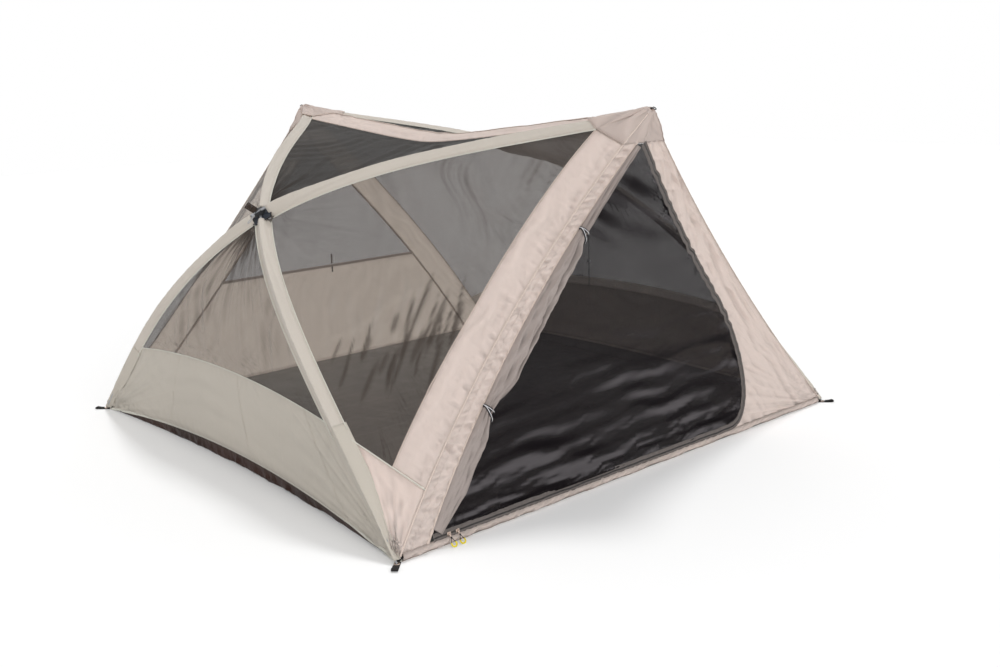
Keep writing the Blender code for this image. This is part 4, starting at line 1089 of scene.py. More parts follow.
class MaterialNodes(NodeTree):
    """Short way to write a material's nodes."""

    def __init__(self, name: str) -> None:
        """Empty material with an output and a Principled shader."""
        self.material = bpy.data.materials.new(name)
        super().__init__(self.material)
        self.shader = self.add("ShaderNodeBsdfPrincipled")
        self.output = self.add("ShaderNodeOutputMaterial")
        self.wire(self.shader, "BSDF", self.output, "Surface")

    def blend(self, share: tuple, a: tuple, b: tuple) -> tuple[bpy.types.Node, int]:
        """Colour between two colours.

        Args:
            share: Node and socket of the share.
            a: Triple at 0, or node and socket.
            b: Triple at 1, or node and socket.

        Returns:
            The node and the number of its colour socket.
        """
        node = self.add("ShaderNodeMix", data_type="RGBA", clamp_factor=True)
        self.wire(*share, node, 0)
        for slot, value in ((6, a), (7, b)):
            if isinstance(value[0], bpy.types.Node):
                self.wire(*value, node, slot)
            else:
                node.inputs[slot].default_value = (*value[:3], 1)
        return node, 2

    def noise(self, scale: float, detail: float = 3.0, distortion: float = 0.0,
              stretch: Triple = (1, 1, 1)) -> tuple[bpy.types.Node, str]:
        """Noise in the space of the piece, in metres."""
        where = self.add("ShaderNodeTexCoord")
        turn = self.add("ShaderNodeMapping", {"Scale": stretch})
        cloud = self.add("ShaderNodeTexNoise", {"Scale": scale, "Detail": detail,
                                                "Distortion": distortion})
        self.wire(where, "Object", turn, "Vector")
        self.wire(turn, "Vector", cloud, "Vector")
        return cloud, "Fac"

    def shone_through(self, share: float, colour: Triple) -> None:
        """Let a share of the light pass through thin cloth."""
        through = self.add("ShaderNodeBsdfTranslucent", {"Color": (*colour, 1)})
        both = self.add("ShaderNodeMixShader", {0: share})
        self.wire(self.shader, "BSDF", both, 1)
        self.wire(through, "BSDF", both, 2)
        self.wire(both, 0, self.output, "Surface")

    def mark(self, name: str) -> tuple[bpy.types.Node, str]:
        """Value that the mesh carries."""
        return self.add("ShaderNodeAttribute", attribute_name=name), "Fac"

    def weave(self, pitch: float) -> tuple[bpy.types.Node, int]:
        """Height of crossed threads, read along the cloth's own two directions."""
        flat = self.add("ShaderNodeUVMap", uv_map="cloth")
        parts = []
        for direction in ("X", "Y"):
            thread = self.add("ShaderNodeTexWave", {"Scale": ONE_BAND_PER_METRE / pitch,
                                                     "Distortion": 0.0},
                              bands_direction=direction)
            self.wire(flat, "UV", thread, "Vector")
            parts.append((thread, "Fac"))
        return self.maths("MULTIPLY", *parts)

    def bump(self, layers: Sequence[tuple[tuple, float, float]]) -> None:
        """Relief from several heights.

        Args:
            layers: For each, its node and socket, its strength and its depth in metres.
        """
        last = None
        for source, strength, depth in layers:
            node = self.add("ShaderNodeBump", {"Strength": strength, "Distance": depth})
            self.wire(*source, node, "Height")
            if last:
                self.wire(last, "Normal", node, "Normal")
            last = node
        self.wire(last, "Normal", self.shader, "Normal")

    def set(self, **values: float | tuple) -> None:
        """Plain values on the shader's own sockets, with spaces written as underscores."""
        for key, value in values.items():
            self.shader.inputs[key.replace("_", " ")].default_value = value

    def paint(self, source: tuple, socket: str) -> None:
        """Link a result to a socket of the shader."""
        self.wire(*source, self.shader, socket)


@dataclass(frozen=True)
class ClothFinish:
    """Thin woven polyester, with fine crumples, darker seams and painted shade in the valleys of its
    folds.
    """

    name: str
    colour: Triple
    shade: Triple
    roughness: float = 0.62
    thread: float = 0.0005
    crumple: float = 0.5
    # Strength of the darkening at seams and of the painted shade in valleys and creases.
    wear: float = 0.22
    through: float = 0.0
    gloss: float = 0.3
    sheen: float = 0.08

    def make(self) -> bpy.types.Material:
        """Material of the finish."""
        nodes = MaterialNodes(self.name)
        cloud = nodes.noise(2.6, detail=4.0, distortion=0.4)
        base = nodes.blend(cloud, self.shade, self.colour)
        threads = nodes.weave(self.thread)
        fine = nodes.blend(nodes.maths("MULTIPLY", threads, 0.16), base,
                           tinted(self.colour, 0.72))
        # Darker at seams, and painted shade where the valley and crease marks are set.
        seam_dark_and_shade_share = nodes.maths("ADD", nodes.mark("seam_wear"), nodes.mark("valley"))
        seam_dark_and_shade_share = nodes.maths("MULTIPLY", seam_dark_and_shade_share, self.wear, clamp=True)
        nodes.paint(nodes.blend(seam_dark_and_shade_share, fine, tinted(self.shade, 0.62)), "Base Color")
        crease = nodes.noise(13.0, detail=3.0, distortion=1.6, stretch=(1.0, 1.0, 0.45))
        crumb = nodes.noise(55.0, detail=4.0, distortion=0.8)
        nodes.bump(((threads, 0.25, 0.0002), (crease, self.crumple, 0.006),
                    (crumb, self.crumple * 0.4, 0.0016)))
        level = nodes.maths("ADD", nodes.maths("MULTIPLY", cloud, 0.14), self.roughness - 0.07)
        nodes.paint(level, "Roughness")
        nodes.set(Specular_IOR_Level=self.gloss, Sheen_Weight=self.sheen, Sheen_Roughness=0.5)
        if self.through:
            nodes.shone_through(self.through, tinted(self.colour, 1.18, 0.96))
        return nodes.material


@dataclass(frozen=True)
class NettingFinish:
    """Fine knitted insect netting that can be seen through, with painted shade and painted highlights
    on its folds.
    """

    name: str
    colour: Triple
    cover: float
    # shine: colour of the painted highlights on upturned folds; deep: colour of the painted shade in
    # steep folds.
    shine: Triple = (0.15, 0.14, 0.135)
    deep: Triple = (0.030, 0.022, 0.017)
    pitch: float = 0.0013
    sheen: float = 0.2
    roughness: float = 0.6
    gloss: float = 0.1

    def make(self) -> bpy.types.Material:
        """Material of the finish."""
        nodes = MaterialNodes(self.name)
        cloud = nodes.noise(9.0, detail=3.0, distortion=0.6)
        tone = nodes.blend(cloud, tinted(self.colour, 0.8), tinted(self.colour, 1.2))
        # Steep folds are painted darker as shade, upturned folds are painted lighter as highlights.
        fold = nodes.mark("fold")
        tone = nodes.blend(nodes.maths("MULTIPLY", fold, 0.75), tone, self.deep)
        nodes.paint(nodes.blend(nodes.mark("shine"), tone, self.shine), "Base Color")
        knit = nodes.weave(self.pitch)
        cover = nodes.maths("ADD", nodes.maths("MULTIPLY", knit, -0.14), self.cover + 0.035)
        cover = nodes.maths("ADD", cover, nodes.maths("MULTIPLY", cloud, 0.06))
        cover = nodes.maths("ADD", cover, nodes.maths("MULTIPLY", fold, 0.30), clamp=True)
        nodes.paint(cover, "Alpha")
        nodes.bump(((knit, 0.3, 0.0003), (nodes.noise(26.0, detail=3.0, distortion=1.2), 0.3, 0.003)))
        nodes.set(Roughness=self.roughness, Specular_IOR_Level=self.gloss,
                  Sheen_Weight=self.sheen, Sheen_Roughness=0.35)
        return nodes.material


@dataclass(frozen=True)
class HardFinish:
    """Plastic, anodised tube or metal, with faint scuffs."""

    name: str
    colour: Triple
    roughness: float
    metallic: float = 0.0
    coat: float = 0.0

    def make(self) -> bpy.types.Material:
        """Material of the finish."""
        nodes = MaterialNodes(self.name)
        cloud = nodes.noise(160.0, detail=5.0, distortion=0.3)
        nodes.paint(nodes.blend(cloud, tinted(self.colour, 0.75), tinted(self.colour, 1.25)),
                    "Base Color")
        level = nodes.maths("ADD", nodes.maths("MULTIPLY", cloud, 0.2), self.roughness - 0.1)
        nodes.paint(level, "Roughness")
        nodes.bump(((nodes.noise(420.0, detail=4.0), 0.12, 0.0004),))
        nodes.set(Metallic=self.metallic, Coat_Weight=self.coat)
        return nodes.material


@dataclass(frozen=True)
class TapeFinish:
    """Ribbed tape, braided cord or thread."""

    name: str
    colour: Triple
    rib: float = 0.0012
    roughness: float = 0.75

    def make(self) -> bpy.types.Material:
        """Material of the finish."""
        nodes = MaterialNodes(self.name)
        where = nodes.add("ShaderNodeTexCoord")
        ribs = nodes.add("ShaderNodeTexWave", {"Scale": ONE_BAND_PER_METRE / self.rib,
                                               "Distortion": 1.5, "Detail": 2.0},
                         bands_direction="DIAGONAL")
        nodes.wire(where, "Object", ribs, "Vector")
        cloud = nodes.noise(70.0, detail=3.0)
        tone = nodes.blend(cloud, tinted(self.colour, 0.7), tinted(self.colour, 1.3))
        tone = nodes.blend(nodes.maths("MULTIPLY", (ribs, "Fac"), 0.3), tone,
                           tinted(self.colour, 0.5))
        nodes.paint(tone, "Base Color")
        nodes.bump((((ribs, "Fac"), 0.5, 0.0004), (cloud, 0.2, 0.0006)))
        nodes.set(Roughness=self.roughness, Specular_IOR_Level=0.12, Sheen_Weight=0.02)
        return nodes.material


@dataclass(frozen=True)
class Finishes:
    """Every finish of the tent."""

    canopy: ClothFinish = ClothFinish("canopy_cloth", (0.80, 0.715, 0.67), (0.74, 0.655, 0.61),
                                      crumple=0.9, wear=0.3, through=0.42)
    # Cap cloth: a darker copy of the canopy cloth, painted shade on the peak caps.
    cap: ClothFinish = ClothFinish("cap_cloth", (0.70, 0.62, 0.578), (0.64, 0.562, 0.522),
                                   crumple=0.9, wear=0.3, through=0.42)
    # Rear cloth: a brighter copy of the canopy cloth, painted light, that also lets more light
    # through.
    rear: ClothFinish = ClothFinish("rear_cloth", (0.86, 0.765, 0.71), (0.80, 0.71, 0.66),
                                    through=0.75)
    lining: ClothFinish = ClothFinish("lining_cloth", (0.45, 0.41, 0.37),
                                      (0.40, 0.365, 0.33))
    tub: ClothFinish = ClothFinish("tub_cloth", (0.60, 0.555, 0.49), (0.545, 0.505, 0.445),
                                   roughness=0.6, through=0.25)
    sleeve: ClothFinish = ClothFinish("sleeve_cloth", (0.62, 0.57, 0.51), (0.56, 0.515, 0.46),
                                      through=0.2)
    # Facing: near white, paler than the tub cloth it lines; pushed this pale as painted light on the
    # band seen through the door.
    facing: ClothFinish = ClothFinish("facing_cloth", (0.93, 0.87, 0.80), (0.88, 0.82, 0.75))
    piping: ClothFinish = ClothFinish("piping_cloth", (0.60, 0.585, 0.52), (0.53, 0.515, 0.455),
                                      roughness=0.7)
    # Flap cloth: a much darker copy of the canopy cloth, painted shade of the rolled flap, with strong
    # painted shade in its creases.
    flap: ClothFinish = ClothFinish("flap_cloth", (0.38, 0.325, 0.30), (0.24, 0.205, 0.19),
                                    roughness=0.6, crumple=0.8, wear=0.8)
    ground: ClothFinish = ClothFinish("ground_cloth", (0.135, 0.150, 0.145), (0.105, 0.118, 0.115),
                                      roughness=0.5)
    # Lip: near black with a red-brown tint, partly the dark underside of the floor and partly painted
    # shade under the raised hem.
    lip: ClothFinish = ClothFinish("ground_lip_cloth", (0.050, 0.014, 0.006), (0.008, 0.005, 0.004),
                                   roughness=0.35, gloss=0.2, sheen=0.0)
    netting: NettingFinish = NettingFinish("side_netting", (0.100, 0.084, 0.075), cover=0.59)
    roof_netting: NettingFinish = NettingFinish("roof_netting", (0.028, 0.025, 0.023), cover=0.92,
                                                sheen=0.05)
    # Door netting: near black, with painted highlights (shine) on its upturned folds and painted shade
    # (deep) in its steep ones.
    door_netting: NettingFinish = NettingFinish("door_netting", (0.012, 0.0095, 0.0105), cover=0.81,
                                                shine=(0.090, 0.083, 0.087),
                                                deep=(0.004, 0.003, 0.004), sheen=0.0,
                                                roughness=0.5, gloss=0.04)
    patch: ClothFinish = ClothFinish("patch_cloth", (0.022, 0.028, 0.042), (0.013, 0.017, 0.026),
                                     roughness=0.6, thread=0.0009)
    zip_tape: TapeFinish = TapeFinish("zip_tape", (0.145, 0.128, 0.120), rib=0.0014)
    coil: HardFinish = HardFinish("zip_coil", (0.045, 0.042, 0.042), roughness=0.35)
    thread: TapeFinish = TapeFinish("seam_thread", (0.52, 0.43, 0.37), rib=0.0006)
    dark_thread: TapeFinish = TapeFinish("dark_thread", (0.10, 0.085, 0.08), rib=0.0006)
    seam: ClothFinish = ClothFinish("seam_cloth", (0.60, 0.50, 0.44), (0.52, 0.43, 0.375))
    hem: ClothFinish = ClothFinish("hem_cloth", (0.36, 0.28, 0.235), (0.28, 0.215, 0.18))
    webbing: TapeFinish = TapeFinish("black_webbing", (0.022, 0.020, 0.020), rib=0.0016)
    tan_tape: TapeFinish = TapeFinish("tan_tape", (0.10, 0.070, 0.045), rib=0.0012)
    brown_tape: TapeFinish = TapeFinish("brown_tape", (0.040, 0.028, 0.022), rib=0.0016)
    black_cord: TapeFinish = TapeFinish("black_cord", (0.018, 0.018, 0.020), rib=0.0010)
    pale_stripe: TapeFinish = TapeFinish("pale_stripe", (0.78, 0.78, 0.82), rib=0.0010)
    yellow_cord: TapeFinish = TapeFinish("yellow_cord", (0.85, 0.66, 0.03), rib=0.0010)
    elastic: TapeFinish = TapeFinish("grey_elastic", (0.40, 0.40, 0.41), rib=0.0010)
    plastic: HardFinish = HardFinish("moulded_plastic", (0.016, 0.016, 0.018), roughness=0.38,
                                     coat=0.2)
    pole: HardFinish = HardFinish("anodised_tube", (0.42, 0.43, 0.45), roughness=0.32, metallic=0.9)
    metal: HardFinish = HardFinish("slider_metal", (0.62, 0.50, 0.43), roughness=0.30, metallic=1.0)

    def make(self) -> dict[str, bpy.types.Material]:
        """All materials, by the name of their finish."""
        return {name: getattr(self, name).make() for name in self.__dataclass_fields__}


# Sub-assemblies

@dataclass
class SubAssembly:
    """Part of the tent that builds and dresses its own pieces."""

    shape: PitchedShape
    finish: dict[str, bpy.types.Material]

    @staticmethod
    def hold(item: bpy.types.Object, slot: str, body: str = "tent",
             replaced: Sequence[str] = ()) -> bpy.types.Object:
        """Let a piece ride on a body, and hide the nodes that it stands for."""
        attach(item, body)
        if replaced:
            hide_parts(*replaced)
        LOG.info("%s: %d faces on %s", item.name, len(item.data.polygons), body)
        return item

    def cloth(self, sheet: Sheet, name: str, finish: str, slot: str,
              replaced: Sequence[str] = (), body: str = "tent", **options: object
              ) -> bpy.types.Object:
        """Piece of cloth with its finish, with the nodes that it stands for hidden."""
        item = sheet.build(name, self.finish[finish], body, **options)
        if replaced:
            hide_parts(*replaced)
        return item

    def stitched(self, name: str, lines: Sequence[tuple[Array, Array]], finish: str = "thread",
                 pitch: float = 0.0042, slot: str = "canopy_fabric", body: str = "tent"
                 ) -> bpy.types.Object:
        """Rows of stitches along lines.

        Args:
            name: Name of the piece.
            lines: For each row, its line and the outward directions along it.
            finish: Finish of the thread.
            pitch: Distance between stitches.
            slot: Not used.
            body: Body on which it rides.

        Returns:
            The piece.
        """
        centres, along, outward = [], [], []
        for line, out in lines:
            run = run_of(line)
            places = np.arange(pitch / 2, run[-1], pitch)
            read = [read_at(places, run, v) for v in (line, np.gradient(line, axis=0), out)]
            centres.append(read[0])
            along.append(read[1])
            outward.append(read[2])
        size = (pitch * STITCH_SHARE, THREAD_THICKNESS, THREAD_THICKNESS)
        item = slivers(name, np.concatenate(centres), np.concatenate(along),
                       np.concatenate(outward), size, self.finish[finish])
        return self.hold(item, slot, body)

    def solid(self, name: str, parts: Sequence[tuple[Array, list]], finish: str, slot: str,
              body: str = "tent", replaced: Sequence[str] = ()) -> bpy.types.Object:
        """Closed bodies as one piece, from the points and faces of each."""
        item = turned_out(new_mesh(name, *joined(parts), self.finish[finish]))
        return self.hold(item, slot, body, replaced)

    def corded(self, name: str, line: Array, radius: float | Array, finish: str,
               body: str = "tent", replaced: Sequence[str] = (), sides: int = 10,
               closed: bool = False) -> bpy.types.Object:
        """Round cord, wire or ring along a line."""
        return self.solid(name, [tube_parts(line, radius, sides, closed)], finish, "webbing",
                          body, replaced)

    def piped(self, name: str, lines: Sequence[tuple[Array, Array]], radius: float,
              finish: str = "seam", slot: str = "canopy_fabric") -> bpy.types.Object:
        """Round piping along lines."""
        return self.solid(name, [tube_parts(line, radius, 7) for line, _ in lines], finish, slot)

    def banded(self, name: str, lines: Sequence[tuple[Array, Array]], width: float,
               height: float, finish: str = "seam", slot: str = "canopy_fabric",
               body: str = "tent", replaced: Sequence[str] = ()) -> bpy.types.Object:
        """Flat tape or felled seam along lines."""
        parts = [ribbon_parts(line, out, width, height) for line, out in lines]
        return self.solid(name, parts, finish, slot, body, replaced)


@dataclass(frozen=True)
class PlainNetting:
    """How one plain panel of netting is drawn, puckered and named."""

    name: str
    node: str
    finish: str
    slope: Triple
    pitch: float
    height: float
    edge: Edge
    pucker_pitch: float
    pucker_reach: float
    fan: float
    seed: int
    pucker_height: float = 0.002


REAR_NETTING = PlainNetting("rear_netting", "rear_mesh", "netting", (1.0, 0.9, -0.7), 0.12, 0.0035,
                            Edge.FIRST_COLUMN, 0.05, 0.03, 0.004, 23)
ROOF_NETTING = PlainNetting("roof_netting", "top_mesh", "roof_netting", (1.0, 0.3, -0.5), 0.14,
                            0.004, Edge.FIRST_ROW, 0.06, 0.04, 0.005, 33)
LOW_NETTING = PlainNetting("low_netting", "lower_mesh", "netting", (0.4, 0.2, -1.0), 0.15, 0.004,
                           Edge.LAST_ROW, 0.05, 0.03, 0.005, 43)


@dataclass
class SideNetting(SubAssembly):
    """Netting of the side walls and of the roof, with the seams that frame it."""

    step: float = 0.010
    fine_step: float = 0.006
    streak_centre: Triple = (-0.715, -0.77, 0.52)
    low_streak_centre: Triple = (-0.80, -0.62, 0.50)

    def make(self) -> None:
        """Build four panels on each side."""
        shape = self.shape
        bends = (shape.upper_steps, shape.upper_steps + 1)
        for side in Side:
            step = self.fine_step if side is Side.LEFT else self.step
            front = mirrored(refined_both(shape.front_rows, step, bends), side)
            rear = mirrored(refined_both(shape.rear_rows, self.step, bends), side, End.REAR)
            top = mirrored(refined_both(shape.top_rows, self.step), side)
            low = mirrored(refined_both(shape.low_rows, self.step), side)
            framed = [self.front(Sheet(front), side), self.plain(Sheet(rear), side, REAR_NETTING)]
            self.plain(Sheet(top), side, ROOF_NETTING)
            self.plain(Sheet(low), side, LOW_NETTING)
            self.piped(f"{side.word}_netting_seams",
                       [sheet.line_by(Edge.FIRST_COLUMN, inset=0.0) for sheet in framed],
                       radius=0.0011)

    @staticmethod
    def under_sleeves(sheet: Sheet, height: Array) -> Array:
        """Folds that only go inwards near a border, where sleeves and bands lie over them."""
        share = rise(sheet.to_border(), 0.030, 0.055)
        return mix(-np.abs(height), height, share)

    def crossing_fan(self, sheet: Sheet, side: Side, height: float, seed: int) -> Array:
        """Tension folds that spread from the crossing of the poles."""
        return sheet.gathers(mirrored(self.shape.crossing, side), reach=0.35, count=7.0,
                             height=height, seed=seed)

    def front(self, sheet: Sheet, side: Side) -> Sheet:
        """Netting beside the door, with upright dark streaks over its lower part and pale streaks
        painted as highlights.
        """
        down = point(side.value * 0.16, -0.02, -1)
        height = (sheet.draws(point(side.value, -0.9, -0.4), pitch=0.20, height=0.0040, seed=13)
                  + sheet.puckers(Edge.FIRST_COLUMN, pitch=0.05, height=0.0020, width=0.03, seed=17)
                  + self.crossing_fan(sheet, side, 0.003, 19))
        streaks = sheet.strokes(mirrored(np.array(self.streak_centre), side), down,
                                spread=(0.085, 0.13), count=15, size=(0.0075, 0.075), seed=11)
        low_centre = mirrored(np.array(self.low_streak_centre), side)
        low = sheet.strokes(low_centre, down, spread=(0.10, 0.09), count=9, size=(0.0065, 0.050),
                            seed=12)
        # Pale streaks: painted highlights on the netting.
        highlight_streaks = sheet.strokes(low_centre + UP * 0.10, point(side.value * 0.5, -0.5, -1),
                             spread=(0.16, 0.10), count=16, size=(0.0045, 0.075), seed=14)
        sheet = sheet.folded(self.under_sleeves(sheet, height), steep=0.42)
        sheet = sheet.moved(0.004 * (streaks + low) - 0.002 * highlight_streaks)
        # Dark streaks: denser netting, as where it doubles over, and painted shade in its creases.
        dark = np.clip(streaks + 0.9 * low, 0, 1)
        sheet.marks["fold"] = np.maximum(sheet.marks["fold"] * 0.6, dark)
        sheet.marks["shine"] = np.clip(0.25 * sheet.marks["shine"] + 0.55 * highlight_streaks - dark, 0, 1)
        self.cloth(sheet, f"{side.word}_front_netting", "netting", "insect_mesh",
                   [f"{side.word}_front_mesh"], thickness=0)
        return sheet

    def plain(self, sheet: Sheet, side: Side, look: PlainNetting) -> Sheet:
        """Panel drawn towards its border and the crossing of the poles.

        Args:
            sheet: Its smooth form.
            side: Side of the tent.
            look: How it is drawn.

        Returns:
            The panel with its folds.
        """
        x, y, z = look.slope
        height = (sheet.draws(point(side.value * x, y, z), pitch=look.pitch, height=look.height,
                              seed=look.seed + side.value)
                  + sheet.puckers(look.edge, pitch=look.pucker_pitch, height=look.pucker_height,
                                  width=look.pucker_reach, seed=look.seed + 4)
                  + self.crossing_fan(sheet, side, look.fan, look.seed + 6))
        sheet = sheet.folded(self.under_sleeves(sheet, height))
        self.cloth(sheet, f"{side.word}_{look.name}", look.finish, "insect_mesh",
                   [f"{side.word}_{look.node}"], thickness=0)
        return sheet


@dataclass
class GroundSheet(SubAssembly):
    """Tub walls with their hems, and the floor between them."""

    step: float = 0.008
    panel_seams: tuple[float, ...] = (-0.52, -0.10, 0.33)
    floor_height: float = 0.0013
    lip_height: float = 0.0024

    def make(self) -> None:
        """Build both tub walls and the floor."""
        for side in Side:
            self.wall(side)
        self.floor()

    def wall(self, side: Side) -> None:
        """Low solid wall with its top seam, its upright seams and its bound hem."""
        shape, name = self.shape, side.word
        points = refined_both(shape.tub_rows, self.step, (), (1, shape.side_columns + 1))
        sheet = Sheet(mirrored(points, side))
        height = np.zeros(sheet.points.shape[:2])
        for end in End:
            foot = mirrored(shape.corner, side, end)
            seed = 50 + 4 * side.value + end.value
            height += sheet.gathers(foot, reach=0.26, count=9.0, height=0.009, seed=seed)
            height += sheet.gathers(foot, reach=0.18, count=15.0, height=0.0095, seed=seed + 9)
        seam = shape.upper_steps + shape.mesh_steps + 1
        top_left = mirrored(shape.pole_side[seam], side)
        height += sheet.gathers(top_left, reach=0.16, count=7.0, height=0.0025, seed=60)
        height += sheet.puckers(Edge.FIRST_ROW, pitch=0.035, height=0.0013, width=0.016, seed=61)
        height += sheet.puckers(Edge.LAST_ROW, pitch=0.05, height=0.0018, width=0.02, seed=62)
        height += sheet.draws(point(0, 1, 0.12), pitch=0.16, height=0.0025, seed=63 + side.value)
        sheet = sheet.quieted(height, 0.012)
        item = self.cloth(sheet, f"{name}_tub_cloth", "tub", "tub_fabric", [f"{name}_tub_wall"])
        item.data.materials.append(self.finish["canopy"])
        fold = int(np.abs(sheet.points[0] - top_left).sum(-1).argmin())
        for face in item.data.polygons:
            face.material_index = int(face.index % (sheet.points.shape[1] - 1) < fold)
        self.wall_seams(sheet, name)
        for word, first, last, depth in (("facing", 0, 7, 0.0022), ("lining", 1, -1, 0.0014)):
            inner = Sheet(sheet.points[first:last] - sheet.normals[first:last] * depth)
            self.cloth(inner, f"{name}_tub_{word}", word, "tub_fabric", thickness=0.0003,
                       inward=True)

    def wall_seams(self, sheet: Sheet, name: str) -> None:
        """Piped top, bound hem, stitches and upright seams of a wall."""
        top, hem = (sheet.line_by(edge, inset=0.0008, lift=0.0006)
                    for edge in (Edge.FIRST_ROW, Edge.LAST_ROW))
        self.piped(f"{name}_tub_top_piping", [top], radius=0.0022, finish="piping",
                   slot="tub_fabric")
        self.banded(f"{name}_hem_binding", [sheet.line_by(Edge.LAST_ROW, inset=0.004, lift=0.0007)],
                    width=0.011, height=0.0018, finish="piping", slot="tub_fabric")
        self.stitched(f"{name}_tub_stitches", [sheet.line_by(Edge.FIRST_ROW, inset=0.006,
                                                             lift=0.0007),
                                               sheet.line_by(Edge.LAST_ROW, inset=0.0085,
                                                             lift=0.0014)],
                      slot="tub_fabric")
        lines = []
        for y in self.panel_seams:
            column = int(np.abs(sheet.points[0, :, 1] - y).argmin())
            lines.append((sheet.points[1:-1, column] + sheet.normals[1:-1, column] * 0.0007,
                          sheet.normals[1:-1, column]))
        self.banded(f"{name}_tub_upright_seams", lines, width=0.0030, height=0.0005, finish="tub",
                    slot="tub_fabric")
        LOG.info("%s hem is %.2f m long", name, run_of(hem[0])[-1])

    def floor(self) -> None:
        """Floor, drawn up to the hem at both sides and creased where it meets the ground."""
        shape = self.shape
        on_front, _ = shape.corner_ends
        hem = shape.tub_rows[-1][1:-1]
        low = self.lip_height
        lip = np.concatenate(([point(on_front[0], on_front[1], low)],
                              [point(p[0], p[1], max(p[2] - 0.0003, low)) for p in hem],
                              [point(on_front[0], -on_front[1], low)]))
        lip = bent(lip, self.step * 1.6, (1, len(lip) - 2))
        rows = []
        for left in lip:
            edge = left[0] + 0.006
            base = [point(edge * (1 - t), left[1], self.floor_height)
                    for t in np.linspace(0, 1, 60)]
            wall = [mix(left, base[0], t) for t in np.linspace(0, 1, 10)[:-1]]
            half = wall + base
            rows.append(half + [mirrored(p, Side.RIGHT) for p in reversed(half[:-1])])
        sheet = Sheet(np.array(rows))
        x, y, z = np.moveaxis(sheet.points, -1, 0)
        raised = rise(z, 0.002, 0.012)
        buckle = np.abs(ripple(x / 0.30 + y / 0.8, seed=71)) + np.abs(ripple(y / 0.35, seed=72))
        slack = ripple(y / 0.11, seed=73) + 0.5 * ripple(y / 0.04 + z / 0.06, seed=74)
        height = 0.004 * slack * raised - 0.0035 * buckle * (1 - raised)
        sheet = sheet.quieted(height, 0.03)
        self.cloth(sheet, "ground_sheet", "ground", "floor_fabric", ["floor"], inward=True,
                   held="laid")
        # Near-black outer face over the drawn-up edge of the floor: partly its dark underside, partly
        # painted shade under the raised hem.
        outside = Sheet(sheet.points[4:-4, :12] + point(-0.0012, 0, 0))
        self.cloth(outside, "ground_sheet_outer_face", "lip", "floor_fabric", ["floor"],
                   held="laid")


